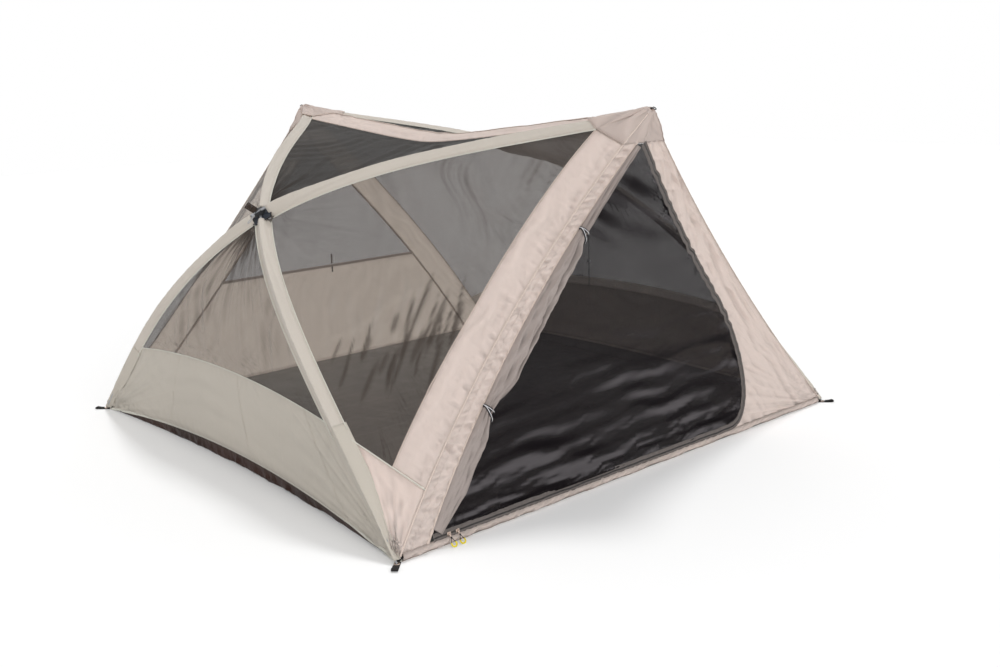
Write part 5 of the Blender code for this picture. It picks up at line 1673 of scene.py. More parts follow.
@dataclass
class Canopy(SubAssembly):
    """Solid cloth of the front, the rear, the ridge and the two peaks."""

    step: float = 0.008
    cap_columns: int = 12
    cap_rows: int = 22
    cap_rounds: int = 60

    def make(self) -> None:
        """Build every solid panel."""
        for side in Side:
            self.side_band(side)
            self.rear_band(side)
        self.front_strip()
        self.front_panel()
        self.sill()
        self.rear_wall()
        self.ridge()
        for end in End:
            self.cap(end)

    def edge_seam(self, name: str, side: Side, end: End, stop: float = 0.985) -> None:
        """Felled seam down an edge of the tent, with a row of stitches on each side."""
        shape = self.shape
        values = np.linspace(shape.seam_values[0], stop, 190)
        line = shape.seam(values)
        out = unit(shape.side_normal + point(0, -1, 0))
        line = line + out * (0.0010 + 0.0007 * ripple(values * 60, seed=81))[:, None]
        line, out = mirrored(line, side, end), mirrored(out, side, end)
        outs = everywhere(out, line)
        across = unit(np.cross(np.gradient(line, axis=0), outs))
        self.banded(f"{name}_edge_seam", [(line, outs)], width=0.0048, height=0.0020, finish="seam")
        self.stitched(f"{name}_edge_stitches",
                      [(line + across * 0.0042 + outs * 0.0003, outs),
                       (line - across * 0.0042 + outs * 0.0003, outs)])

    def side_band(self, side: Side) -> None:
        """Band down the side beside the front edge, which narrows into the corner."""
        shape, name = self.shape, side.word
        rows = np.stack((shape.seam_edge, mix(shape.seam_edge, shape.band_edge, 0.5),
                         shape.band_edge), axis=1)
        bends = (shape.upper_steps, shape.upper_steps + 1)
        sheet = Sheet(mirrored(refined_both(rows, self.step, bends), side))
        height = (sheet.puckers(Edge.FIRST_COLUMN, pitch=0.026, height=0.0042, width=0.018,
                                seed=83 + side.value)
                  + sheet.puckers(Edge.LAST_COLUMN, pitch=0.040, height=0.0012, width=0.012,
                                  seed=85)
                  + sheet.draws(point(-side.value, 0, 1.15), pitch=0.06, height=0.0026,
                                seed=87 + side.value, wander=0.2)
                  + sheet.gathers(mirrored(shape.corner, side), reach=0.3, count=12.0, height=0.004,
                                  seed=89))
        sheet = sheet.quieted(height, 0.010)
        node = "front_left_band" if side is Side.LEFT else "front_right_panel"
        self.cloth(sheet, f"{name}_side_band", "canopy", "canopy_fabric", [node])
        self.stitched(f"{name}_side_band_stitches", [sheet.line_by(Edge.LAST_COLUMN, inset=0.005),
                                                     sheet.line_by(Edge.LAST_COLUMN, inset=0.010)])
        self.edge_seam(f"{name}_front", side, End.FRONT)

    def front_strip(self) -> None:
        """Strip between the left edge seam and the sewn edge of the door."""
        shape = self.shape
        last = float(shape.seam_at(shape.sill - shape.zip_half - 0.003))
        values = np.linspace(shape.front_values[0] - 0.010, last, 220)
        seam = shape.seam(values)
        door = shape.door_edge(seam[:, 2])
        share = np.linspace(0, 1, 19)[None, :, None]
        sheet = Sheet(mix(seam[:, None], door[:, None], share))
        _, across = sheet.runs
        tuck = np.exp(-((across - 0.037) / 0.005) ** 2)
        height = (sheet.puckers(Edge.FIRST_COLUMN, pitch=0.026, height=0.0050, width=0.018, seed=91)
                  + sheet.puckers(Edge.LAST_COLUMN, pitch=0.035, height=0.0036, width=0.018,
                                  seed=92)
                  + sheet.draws(point(-1, 0, 1.1), pitch=0.045, height=0.0034, seed=93, wander=0.3)
                  + sheet.gathers(shape.corner, reach=0.25, count=12.0, height=0.005,
                                  seed=95) - 0.0016 * tuck)
        sheet = sheet.quieted(height, 0.010)
        self.cloth(sheet, "front_strip", "canopy", "canopy_fabric", ["front_left_band"])
        self.banded("door_edge_binding",
                    [sheet.line_by(Edge.LAST_COLUMN, inset=0.003, lift=0.0008)], width=0.009,
                    height=0.0016, finish="seam")
        self.stitched("front_strip_stitches", [sheet.line_by(Edge.LAST_COLUMN, inset=0.0005,
                                                             lift=0.0018),
                                               sheet.line_by(Edge.FIRST_COLUMN, inset=0.037,
                                                             lift=0.0004)])

    def front_panel(self) -> None:
        """Solid panel between the zip and the right edge seam."""
        shape = self.shape
        zip_edge = shape.beside_zip(shape.tall_zip_line, shape.zip_half)
        outer = shape.on_wall(zip_edge)
        seam = shape.seam(shape.seam_at(outer[:, 2])) * point(-1, 1, 1)
        columns = 44
        share = np.linspace(0, 1, columns + 1)[None, :, None]
        sheet = Sheet(mix(outer[:, None], seam[:, None], share))
        spread = (sheet.points[..., 0].max(axis=1) - sheet.points[..., 0].min(axis=1))[:, None]
        upper = rise(sheet.points[..., 2], 0.45, 0.9)
        height = (sheet.draws(point(0.72, 0, -1), pitch=0.075, height=0.0070, seed=101, wander=0.15)
                  + sheet.draws(point(0.80, 0, -1), pitch=0.032, height=0.0024, seed=102,
                                wander=0.2)
                  + sheet.draws(point(0.36, 0, -1), pitch=0.030, height=0.0040, seed=106,
                                wander=0.1) * upper
                  + sheet.gathers(mirrored(shape.corner, Side.RIGHT), reach=0.45, count=10.0,
                                  height=0.009, seed=103)
                  + sheet.puckers(Edge.FIRST_COLUMN, pitch=0.055, height=0.0024, width=0.016,
                                  seed=104)
                  + sheet.puckers(Edge.LAST_COLUMN, pitch=0.022, height=0.0022, width=0.010,
                                  seed=105))
        height = height * rise(spread, 0.02, 0.12)
        height += 0.0035 * np.exp(-((sheet.to_border(Edge.LAST_COLUMN) - 0.034) / 0.005) ** 2)
        sheet = sheet.quieted(height, 0.012, Edge.FIRST_COLUMN, Edge.LAST_COLUMN)
        self.cloth(sheet, "front_panel", "canopy", "canopy_fabric", ["front_right_panel"])
        self.stitched("front_panel_stitches", [sheet.line_by(Edge.FIRST_COLUMN, inset=0.006,
                                                             lift=0.0007)])

    def sill(self) -> None:
        """Narrow crumpled strip between the foot of the door and the ground."""
        shape = self.shape
        on_front, _ = shape.corner_ends
        top_z = shape.sill - shape.zip_half
        left = shape.seam(shape.seam_at(shape.sill))
        share = np.linspace(-1, 1, 330)[:, None]
        foot = np.concatenate((-on_front[0] * share, np.full_like(share, on_front[1]),
                               np.zeros_like(share)), axis=1)
        top = np.concatenate((-left[0] * share, np.full_like(share, shape.wall_y(top_z)),
                              np.full_like(share, top_z)), axis=1)
        across = np.linspace(0, 1, 9)[:, None, None]
        sheet = Sheet(mix(top[None], foot[None], across))
        down, run = sheet.runs
        height = (0.0080 * np.abs(ripple(run / 0.07 + down / 0.03, seed=111, octaves=3))
                  + 0.0035 * np.abs(ripple(run / 0.022 - down / 0.025, seed=112))
                  + 0.004) * np.sin(np.pi * across[..., 0])
        loose = rise(run, 0.05, 0.3) * rise(run[:, -1:] - run, 0.05, 0.3)
        sheet = sheet.moved(height)
        # Valleys of the crumples are painted darker: painted shade.
        sheet.marks["valley"] = 2.6 * rise(-height, -0.011, -0.003)
        lifted = rise(ripple(run / 0.16, seed=113, octaves=2), -0.6, 0.9)
        sheet.points[..., 2] += 0.0045 * lifted * loose * across[..., 0]
        self.cloth(sheet, "door_sill", "canopy", "canopy_fabric", ["front_sill"])
        self.banded("sill_hem", [sheet.line_by(Edge.LAST_ROW, inset=0.003, lift=0.0006)],
                    width=0.006, height=0.0014, finish="hem")
        self.stitched("sill_stitches",
                      [sheet.line_by(Edge.LAST_ROW, inset=0.0065, lift=0.0009),
                       sheet.line_by(Edge.FIRST_ROW, inset=0.004, lift=0.0009)],
                      finish="dark_thread")

    def rear_band(self, side: Side) -> None:
        """Solid band of the rear wall beside its edge seam."""
        shape, name = self.shape, side.word
        on_front, _ = shape.corner_ends
        rows = []
        for value in shape.front_values:
            seam = shape.seam(value)
            rows.append((seam, point(min(seam[0] + shape.rear_band, 0), seam[1], seam[2])))
        rows.append((on_front, on_front + point(shape.rear_band, 0, 0)))
        points = mirrored(refined_both(np.array(rows), self.step * 1.3), side, End.REAR)
        sheet = Sheet(points)
        height = (sheet.draws(point(side.value, 0, -1.1), pitch=0.07, height=0.003,
                              seed=121 + side.value)
                  + sheet.gathers(mirrored(shape.corner, side, End.REAR), reach=0.3, count=10.0,
                                  height=0.005, seed=123))
        sheet = sheet.quieted(height, 0.012)
        self.cloth(sheet, f"rear_{name}_strip", "rear", "canopy_fabric",
                   [f"rear_{name}_band"])
        self.banded(f"rear_{name}_strip_seam",
                    [sheet.line_by(Edge.LAST_COLUMN, inset=0.0, lift=0.0008)], width=0.010,
                    height=0.0018, finish="seam")
        self.edge_seam(f"{name}_rear", side, End.REAR)

    def rear_wall(self) -> None:
        """Solid lower panel of the rear wall, and the netting window above it."""
        shape = self.shape
        on_front, _ = shape.corner_ends
        heights = np.linspace(shape.cap_height, 0, 130)
        edge = shape.seam(shape.seam_at(heights))
        edge[:, 0] += shape.rear_band
        edge[-1] = on_front + point(shape.rear_band, 0, 0)
        share = np.linspace(1, -1, 130)[None, :, None]
        points = edge[:, None] * np.array((1.0, 0, 0)) * share + edge[:, None] * np.array((0, 1, 1))
        points = mirrored(points, Side.LEFT, End.REAR)
        split = int(np.abs(heights - shape.rear_panel_height).argmin())
        first = int(np.argmax(edge[:, 0] < -0.012))
        window, lower = Sheet(points[first:split + 1]), Sheet(points[split:])
        window = window.folded(window.draws(point(0.3, 0, 1), pitch=0.2, height=0.003, seed=131),
                               steep=0.5)
        height = (lower.draws(point(1, 0, 0.45), pitch=0.2, height=0.006, seed=133)
                  + lower.draws(point(0.2, 0, 1), pitch=0.09, height=0.003, seed=134)
                  + lower.puckers(Edge.FIRST_ROW, pitch=0.07, height=0.002, width=0.03, seed=135))
        lower = lower.quieted(height, 0.02)
        self.cloth(window, "rear_window_netting", "netting", "insect_mesh",
                   ["rear_window_mesh"], thickness=0)
        self.cloth(lower, "rear_lower_cloth", "rear", "canopy_fabric", ["rear_lower_panel"])
        line, out = lower.line_by(Edge.FIRST_ROW, inset=0.0, lift=0.0)
        self.banded("rear_window_seam", [(line + out * 0.0008, out), (line - out * 0.001, -out)],
                    width=0.012, height=0.0018, finish="seam")
        self.stitched("rear_window_stitches", [lower.line_by(Edge.FIRST_ROW, inset=0.008,
                                                             lift=0.0008)])

    def ridge(self) -> None:
        """Band along the ridge."""
        shape = self.shape
        edge, top = shape.pole_side[0], shape.ridge_end
        shares = np.linspace(-1, 1, 11)
        rows = [[shape.roof(mix(edge, top, t), s) for s in shares] for t in (0, 0.5, 1)]
        rows += [[mirrored(shape.roof(mix(edge, top, t), s), Side.RIGHT) for s in shares]
                 for t in (0.5, 0)]
        sheet = Sheet(refined_both(np.array(rows), self.step, (2,)))
        crown = np.exp(-(np.abs(sheet.points[..., 0]) / 0.02) ** 2)
        height = (sheet.draws(point(0, 1, 0), pitch=0.06, height=0.0022, seed=141, wander=0.4)
                  + sheet.puckers(Edge.FIRST_ROW, pitch=0.05, height=0.0018, width=0.02, seed=142)
                  + sheet.puckers(Edge.LAST_ROW, pitch=0.05, height=0.0018, width=0.02, seed=143))
        for end in End:
            height += sheet.gathers(mirrored(shape.ridge_end, Side.LEFT, end), reach=0.22,
                                    count=6.0, height=0.004, seed=145 + end.value)
        sheet = sheet.quieted(height - 0.001 * crown, 0.012)
        self.cloth(sheet, "ridge_cloth", "canopy", "canopy_fabric", ["ridge_band"])
        middle = len(sheet.points) // 2
        ridge = (sheet.points[middle] + UP * 0.0012, sheet.normals[middle])
        self.banded("ridge_seam", [ridge], width=0.007, height=0.0024, finish="seam")
        lines = [sheet.line_by(edge, inset=inset, lift=0.0008)
                 for edge in (Edge.FIRST_ROW, Edge.LAST_ROW)
                 for inset in (0.003, 0.009)]
        self.stitched("ridge_stitches", lines)
        self.piped("ridge_edge_seams", lines[::2], radius=0.0013)

    def cap_rings(self) -> Array:
        """Rings of a peak cap, from its mouth over its middle to its rim."""
        shape = self.shape
        nose = shape.peak + point(0, -shape.cap_nose, shape.cap_lift)
        face = point(0, float(shape.wall_y(shape.cap_height)), shape.cap_height)
        start, top = shape.pole_side[0], shape.ridge_end
        first = shape.upper_values[0]
        low = start + unit(shape.seam_edge[0] - start) * shape.cap_foot
        high = start + unit(top - start) * shape.cap_foot
        crest = shape.upper(first) + shape.outward(False, first) * shape.cap_lift
        rim = [face, shape.seam_edge[0], shape.band_edge[0], low, crest, high,
               mix(high, top, 0.5), top]
        middle = [mix(nose, p, 0.5) for p in rim]
        half = shape.stations(False, shape.cap_reach / 2, 0, 1)[0]
        along, out = shape.along(False, half), shape.outward(False, half)
        across = unit(np.cross(along, out))
        across = across if across[2] < 0 else -across
        skin = shape.skin(False, half)
        middle[3:6] = [skin + across * 0.02, shape.upper(half) + out * shape.cap_lift,
                       skin - across * 0.02]
        mouth = [nose + unit(p - nose) * shape.cap_mouth for p in middle]
        rings = np.array((mouth, middle, rim))
        right = rings[:, -2:0:-1] * point(-1, 1, 1)
        return np.concatenate((rings, right, rings[:, :1]), axis=1)

    def cap_grid(self) -> Array:
        """Cloth of a cap, drawn smooth between the seams that hold it."""
        rings = self.cap_rings()
        count = rings.shape[1]
        at = np.arange(count, dtype=float)
        fine = np.linspace(0, count - 1, (count - 1) * self.cap_columns + 1)
        base = np.stack([read_at(fine, at, ring) for ring in rings])
        grid = smooth_at(base, np.array((0.0, 0.52, 1.0)), np.linspace(0, 1, self.cap_rows))
        columns = grid.shape[1] - 1
        held = np.array([k * self.cap_columns for k in (1, 4)])
        held = np.concatenate((held, columns - held))
        away = np.abs(np.arange(columns)[:, None] - held[None]).min(axis=1)
        share = 0.6 * rise(away, 0, 5)[None, :, None]
        for _ in range(self.cap_rounds):
            loop = grid[:, :-1]
            around = (np.roll(loop, 1, axis=1) + np.roll(loop, -1, axis=1)) / 2
            inner = (loop[:-2] + loop[2:]) / 2
            loop[1:-1] = mix(loop[1:-1], (around[1:-1] * 2 + inner) / 3, share)
            grid[:, :-1] = loop
            grid[:, -1] = grid[:, 0]
        return grid

    def cap(self, end: End) -> None:
        """Cap over a peak, gathered towards its tip."""
        grid = self.cap_grid()
        core = everywhere(self.shape.peak - point(0, -0.05, 0.06), grid)
        sheet = Sheet(mirrored(grid, Side.LEFT, end), core=mirrored(core, Side.LEFT, end))
        turn = np.linspace(0, 2 * math.pi, grid.shape[1])[None, :]
        down, _ = sheet.runs
        fade = np.exp(-down / 0.10) * rise(down, 0, 0.02)
        fold = sum(np.sin(turn * n + phase) / n ** 0.5 for n, phase in
                   ((9, 1.0), (14, 0.3), (23, 2.0), (37, 4.0)))
        height = 0.0038 * fold * fade + 0.0035 * ripple(turn * 1.1 + down / 0.2,
                                                        seed=191 + end.value)
        fade = rise(sheet.to_border(Edge.LAST_ROW), 0, 0.03) * rise(down, 0, 0.01)
        at = np.arange(grid.shape[1])
        over = rise(np.minimum(at, at[-1] - at), self.cap_columns - 5, self.cap_columns)
        sheet = sheet.moved(0.0007 + 0.0017 * over + 0.0014 * fade + height * fade)
        # Darker near the mouth and the rim; the valleys of the gathers get painted shade.
        sheet.marks["seam_wear"] = np.exp(-sheet.to_border(Edge.FIRST_ROW, Edge.LAST_ROW) / 0.01)
        sheet.marks["valley"] = np.clip(-height * fade / DARK_VALLEY, 0, DARKEST_VALLEY)
        name = end.word
        self.cloth(sheet, f"{name}_cap_cloth", "cap", "canopy_fabric", [f"{name}_peak_cap"])
        self.cap_seams(sheet, name)

    def cap_seams(self, sheet: Sheet, name: str) -> None:
        """Rim, stitches and edge seams of a cap."""
        first, last = self.cap_columns, sheet.points.shape[1] - self.cap_columns
        rims = [sheet.line_by(Edge.LAST_ROW, inset=inset, lift=lift)
                for inset, lift in ((0.0005, 0.0004), (0.005, 0.0006), (0.010, 0.0006))]
        rims = [(line[first:last], out[first:last]) for line, out in rims]
        self.piped(f"{name}_cap_rim", rims[:1], radius=0.0009)
        self.stitched(f"{name}_cap_stitches", rims[1:])
        seams = [(sheet.points[3:, k] + sheet.normals[3:, k] * 0.0008, sheet.normals[3:, k])
                 for k in (first, last - 1)]
        self.banded(f"{name}_cap_edge_seams", seams, width=0.0042, height=0.0018, finish="seam")


@dataclass
class SleeveSet(SubAssembly):
    """Eight flat sleeves over the pole legs, with piped edges."""

    half_width: float = 0.031
    flange: float = 0.006
    pole_radius: float = 0.0045
    step: float = 0.009
    end_gap: float = 0.033
    cap_overlap: float = 0.024
    edge_clear: float = 0.0012
    foot_clear: float = 0.0009

    def make(self) -> None:
        """Build an upper and a lower sleeve in each quarter."""
        for side in Side:
            for end in End:
                self.leg(side, end, False)
                self.leg(side, end, True)
                self.foot(side, end)

    def sides(self, lower: bool, end: End, t: Array) -> tuple[Array, Array]:
        """Directions of the two panels beside a pole line, square to the line.

        Args:
            lower: Whether it is the lower line.
            end: End of the tent, which decides the panel beside the wall.
            t: Curve values.

        Returns:
            Direction to the wall's panel and to the roof's or the low panel.
        """
        shape = self.shape
        rows = shape.front_rows if end is End.FRONT else shape.rear_rows
        if lower:
            first = shape.upper_steps + 1
            a = list(rows[first:, -2] - rows[first:, -1])
            b = list(shape.low_rows[:, 1] - shape.low_rows[:, 0])
            a += list(shape.tub_rows[1:-1, 0] - shape.tub_rows[1:-1, 1])
            b += list(shape.tub_rows[1:-1, 2] - shape.tub_rows[1:-1, 1])
            at = np.concatenate((shape.mesh_values, shape.foot_values[1:]))
        else:
            count = shape.upper_steps + 1
            a = rows[:count, -2] - rows[:count, -1]
            b = shape.top_rows[:, 1] - shape.top_rows[:, 0]
            at = shape.upper_values
        along = shape.along(lower, t)
        result = []
        for directions in (a, b):
            directions = unit(np.array(directions))
            read = read_at(t, at, directions)
            result.append(unit(read - along * (read * along).sum(-1, keepdims=True)))
        return result[0], result[1]

    def section(self, lower: bool, end: End, t: Array, width: Array, lifted: bool,
                clear: float) -> tuple[Array, Array, Array]:
        """Upper and lower cloth of a sleeve.

        Args:
            lower: Whether it lies on the lower line.
            end: End of the tent.
            t: Curve values of its rows.
            width: Half width in each row.
            lifted: Whether the pole is the outer one.
            clear: Distance of its sewn edges to the panels.

        Returns:
            Rows of the upper cloth, rows of the lower cloth and the line inside.
        """
        shape = self.shape
        line = (shape.lower if lower else shape.upper)(t)
        out = shape.outward(lower, t)
        if lifted:
            line = line + out * shape.lift(line)[:, None]
        skin = shape.skin(lower, t)
        a, b = self.sides(lower, end, t)
        along = shape.along(lower, t)
        across = np.linspace(-1, 1, 25)
        top, bottom = [], []
        crest = ((line - skin) * out).sum(-1) + self.pole_radius + 0.0016
        for share in across:
            direction = a if share < 0 else b
            normal = unit(np.cross(direction, along))
            normal = normal * np.sign((normal * out).sum(-1, keepdims=True))
            blend = rise(abs(share), 0, 0.35)
            normal = unit(mix(out, normal, blend))
            base = skin + direction * (abs(share) * width)[:, None] + normal * clear
            reach = np.clip(abs(share) * width / np.maximum(width - self.flange, 0.004), 0, 1)
            rounded = 0.5 * (1 + np.cos(np.pi * reach))
            swell = (crest - clear) * rounded ** 0.85
            top.append(base + out * (swell + 0.0008)[:, None])
            bottom.append(base)
        return np.stack(top, axis=1), np.stack(bottom, axis=1), (line + skin) / 2

    def sleeve(self, name: str, sheet_rows: tuple[Array, Array, Array], side: Side, end: End,
               node: str, seed: int) -> Sheet:
        """One sleeve as a closed flat tube with lengthwise creases."""
        top, bottom, core = sheet_rows
        ring = np.concatenate((top, bottom[:, ::-1], top[:, :1]), axis=1)
        sheet = Sheet(mirrored(ring, side, end), core=mirrored(core, side, end))
        down, _ = sheet.runs
        columns = top.shape[1]
        share = np.linspace(-1, 1, columns)
        upper = np.zeros(ring.shape[:2])
        run = down[:, :columns]
        crease = (0.0011 * ripple(share[None] * 1.4 + run / 0.5, seed=seed)
                  + 0.0006 * ripple(run / 0.05 + share[None] * 2.0, seed=seed + 1)
                  - 0.0012 * np.exp(-((share[None] - 0.35 - 0.12 * ripple(run / 0.4, seed=seed + 2))
                                      / 0.07) ** 2))
        upper[:, :columns] = crease * (1 - share[None] ** 8)
        sheet = sheet.moved(upper)
        wear = np.zeros(ring.shape[:2])
        wear[:, :columns] = np.exp(-(1 - np.abs(share[None])) * self.half_width / 0.004)
        sheet.marks["seam_wear"] = wear
        self.cloth(sheet, name, "sleeve", "sleeve_fabric", [node])
        normals = sheet.normals
        rims = [(sheet.points[:, k] + normals[:, k] * 0.0006, normals[:, 3 if k == 0 else k - 3])
                for k in (0, columns - 1)]
        self.piped(f"{name}_piping", rims, radius=0.0019, finish="piping", slot="sleeve_fabric")
        inner = [(sheet.points[:, k] + normals[:, k] * 0.0008, normals[:, k])
                 for k in (3, columns - 4)]
        self.stitched(f"{name}_stitches", inner, finish="thread", pitch=0.0045,
                      slot="sleeve_fabric")
        return sheet

    @staticmethod
    def pole(end: End, lower: bool) -> str:
        """Pole in a quarter of the tent: the two change places where they cross."""
        return "rear" if (end is End.FRONT) == lower else "front"

    def leg(self, side: Side, end: End, lower: bool) -> None:
        """Sleeve from a peak cap to the crossing, or from there to the tub."""
        shape, pole = self.shape, self.pole(end, lower)
        if lower:
            t = shape.stations(True, self.end_gap, shape.tub_length - 0.02, 84)
            part, seed = "lower", 161
        else:
            t = shape.stations(False, shape.cap_reach - self.cap_overlap, self.end_gap, 92)
            part, seed = "upper", 151
        rows = self.section(lower, end, t, np.full(len(t), self.half_width), pole == "front",
                            self.edge_clear)
        self.sleeve(f"{end.word}_{side.word}_{part}_sleeve_cloth", rows, side, end,
                    f"{pole}_pole_{side.word}_{part}_sleeve", seed + side.value * 3)

    def foot(self, side: Side, end: End) -> None:
        """Foot of a lower sleeve, where it merges into the cloth of the tub."""
        shape = self.shape
        start = shape.lower_length - shape.tub_length - 0.004
        t = shape.stations(True, start, 0.010, 60)
        share = np.linspace(0, 1, len(t))
        width = mix(self.half_width + 0.006, 0.0125, rise(share, 0.35, 0.9))
        top, bottom, core = self.section(True, end, t, width, False, self.foot_clear)
        ring = np.concatenate((top, bottom[:, ::-1], top[:, :1]), axis=1)
        sheet = Sheet(mirrored(ring, side, end), core=mirrored(core, side, end))
        corner = mirrored(shape.corner, side, end)
        fold = sheet.gathers(corner, reach=0.16, count=14.0, height=0.004,
                             seed=171 + side.value + 3 * end.value)
        mask = np.zeros(ring.shape[:2])
        columns = top.shape[1]
        mask[:, :columns] = 1 - np.linspace(-1, 1, columns)[None] ** 8
        sheet = sheet.moved(np.abs(fold) * mask)
        wear = np.zeros(ring.shape[:2])
        wear[0, :columns] = 1
        sheet.marks["seam_wear"] = wear
        name = f"{end.word}_{side.word}_sleeve_foot"
        self.cloth(sheet, name, "tub", "tub_fabric",
                   [f"{self.pole(end, True)}_pole_{side.word}_lower_sleeve"])
        line = (sheet.points[1, :columns] + sheet.normals[1, :columns] * 0.0006,
                sheet.normals[1, :columns])
        self.stitched(f"{name}_top_stitches", [line], slot="tub_fabric")


@dataclass
class PoleSet(SubAssembly):
    """Finish of the poles, of their elbows and of the eyelets at the peaks."""

    def make(self) -> None:
        """Dress the kept nodes."""
        for name in POLES:
            dress(name, self.finish["pole"])
        for end in End:
            dress(f"{end.word}_pole_elbow", self.finish["plastic"])


@dataclass
class CrossingSet(SubAssembly):
    """Patch, clip, tab, hook and elastic loop at each crossing of the poles."""

    tab_length: float = 0.046
    tab_rise: float = math.radians(48)
    tab_thickness: float = 0.0014
    clip_width: float = 0.034

    def make(self) -> None:
        """Build both crossings."""
        for side in Side:
            self.patch(side)
            self.tab(side)
            self.hook(side)
            dress(f"{side.word}_crossing_clip", self.finish["plastic"])

    def axes(self, side: Side) -> tuple[Array, Array, Array, Array]:
        """Centre, outer pole, inner pole and outward direction at a crossing."""
        return tuple(mirrored(v, side) for v in self.shape.crossing_axes)

    def patch(self, side: Side) -> None:
        """Dark square patch between the four sleeve ends, with its bound edges."""
        shape, name = self.shape, side.word
        centre, outer, inner, out = self.axes(side)
        base = centre - out * (shape.skin_drop - 0.0012)
        reach = shape.patch_half + 0.006
        u = np.linspace(-1, 1, 33)
        grid = np.array([[base + (outer * a + inner * b) * reach / 1.02 for a in u] for b in u])
        bound = 1 - np.maximum(np.abs(u)[:, None], np.abs(u)[None])
        sheet = Sheet(grid)
        far = np.abs(u)[:, None] * np.abs(u)[None]
        crumple = ripple(u[:, None] * 2 + u[None], seed=181)
        height = (0.0035 * (1 - far) * rise(bound, 0, 0.3)
                  + 0.001 * crumple * rise(bound, 0, 0.4))
        sheet = sheet.moved(height)
        self.cloth(sheet, f"{name}_patch_cloth", "patch", "webbing", [f"{name}_crossing_patch"])
        rims = [sheet.line_by(edge, inset=0.0015, lift=0.0008) for edge in Edge]
        self.banded(f"{name}_patch_binding", rims, width=0.004, height=0.0014, finish="webbing",
                    slot="webbing")
        self.stitched(f"{name}_patch_stitches",
                      [sheet.line_by(edge, inset=0.006, lift=0.0008) for edge in Edge],
                      finish="elastic", pitch=0.004, slot="webbing")

    def tab(self, side: Side) -> None:
        """Folded webbing tab of two squares that sticks up for the rain cover."""
        name = side.word
        centre, outer, inner, out = self.axes(side)
        down, rearward = unit(outer + inner), unit(outer - inner)
        lean = rearward * math.cos(self.tab_rise) + out * math.sin(self.tab_rise)
        hinge = centre + rearward * (self.clip_width * 0.4 + 0.0011)
        hinge = hinge + out * (self.shape.clip_step / 2)
        places = np.array((0.0, 0.006, 0.014, 0.024, 0.034, self.tab_length))
        line = evenly(hinge + lean * places[:, None], 0.002)
        normal = unit(np.cross(lean, down))
        normal = normal if normal @ out > 0 else -normal
        run = np.linspace(0, 1, len(line))
        curl = 0.0010 + 0.0022 * np.sin(run * math.pi) + 0.0006 * np.sin(run * 9)
        line = line + normal * curl[:, None]
        outs = everywhere(normal, line)
        width = np.where(run < 0.2, 0.018, 0.025)
        half = len(line) // 2
        parts = [ribbon_parts(line, outs, width, self.tab_thickness),
                 ribbon_parts(line[half:] + normal * 0.0017, outs[half:], 0.0245,
                              self.tab_thickness)]
        self.solid(f"{name}_tab_webbing", parts, "brown_tape", "webbing", f"{name}_tab",
                   [f"{name}_fly_tab"])
        across = down * 0.009
        box = [line[-3] + across, line[-3] - across, line[half + 1] - across,
               line[half + 1] + across, line[-3] + across]
        box = evenly(np.array(box), 0.002) + normal * 0.0026
        self.stitched(f"{name}_tab_stitches", [(box, everywhere(normal, box))], finish="elastic",
                      pitch=0.003, slot="webbing", body=f"{name}_tab")

    def hook(self, side: Side) -> None:
        """Wire hook over the clip and the grey elastic loop that hangs from it."""
        name = side.word
        centre, outer, inner, out = self.axes(side)
        down = unit(outer + inner)
        down = down if down[2] < 0 else -down
        frontward = unit(np.cross(out, down))
        frontward = frontward if frontward[1] < 0 else -frontward
        top = centre + out * 0.0205
        hook = [top - frontward * 0.010 - down * 0.004 - out * 0.003, top - down * 0.007,
                top + frontward * 0.009 - down * 0.001, top + frontward * 0.006 + down * 0.007,
                top + down * 0.012 - out * 0.003]
        self.solid(f"{name}_crossing_hook", [tube_parts(bent(hook, 0.0015), 0.0017, 10)],
                   "plastic", "black_plastic")
        start = centre + down * 0.019 + out * 0.004
        turn = np.linspace(0, math.pi, 15)
        arc = [start + down * (0.030 + 0.006 * math.sin(a)) + frontward * (0.006 * math.cos(a))
               for a in turn]
        loop = np.array([start + frontward * 0.003, *arc, start - frontward * 0.003])
        loop = evenly(loop, 0.0025)
        lift = self.shape.lift(loop) * 0.2 + 0.004
        loop = loop + out * (0.010 + lift * 0.3)[:, None]
        outs = everywhere(out, loop)
        self.banded(f"{name}_elastic_loop", [(loop, outs)], width=0.0045, height=0.0012,
                    finish="elastic", slot="webbing")


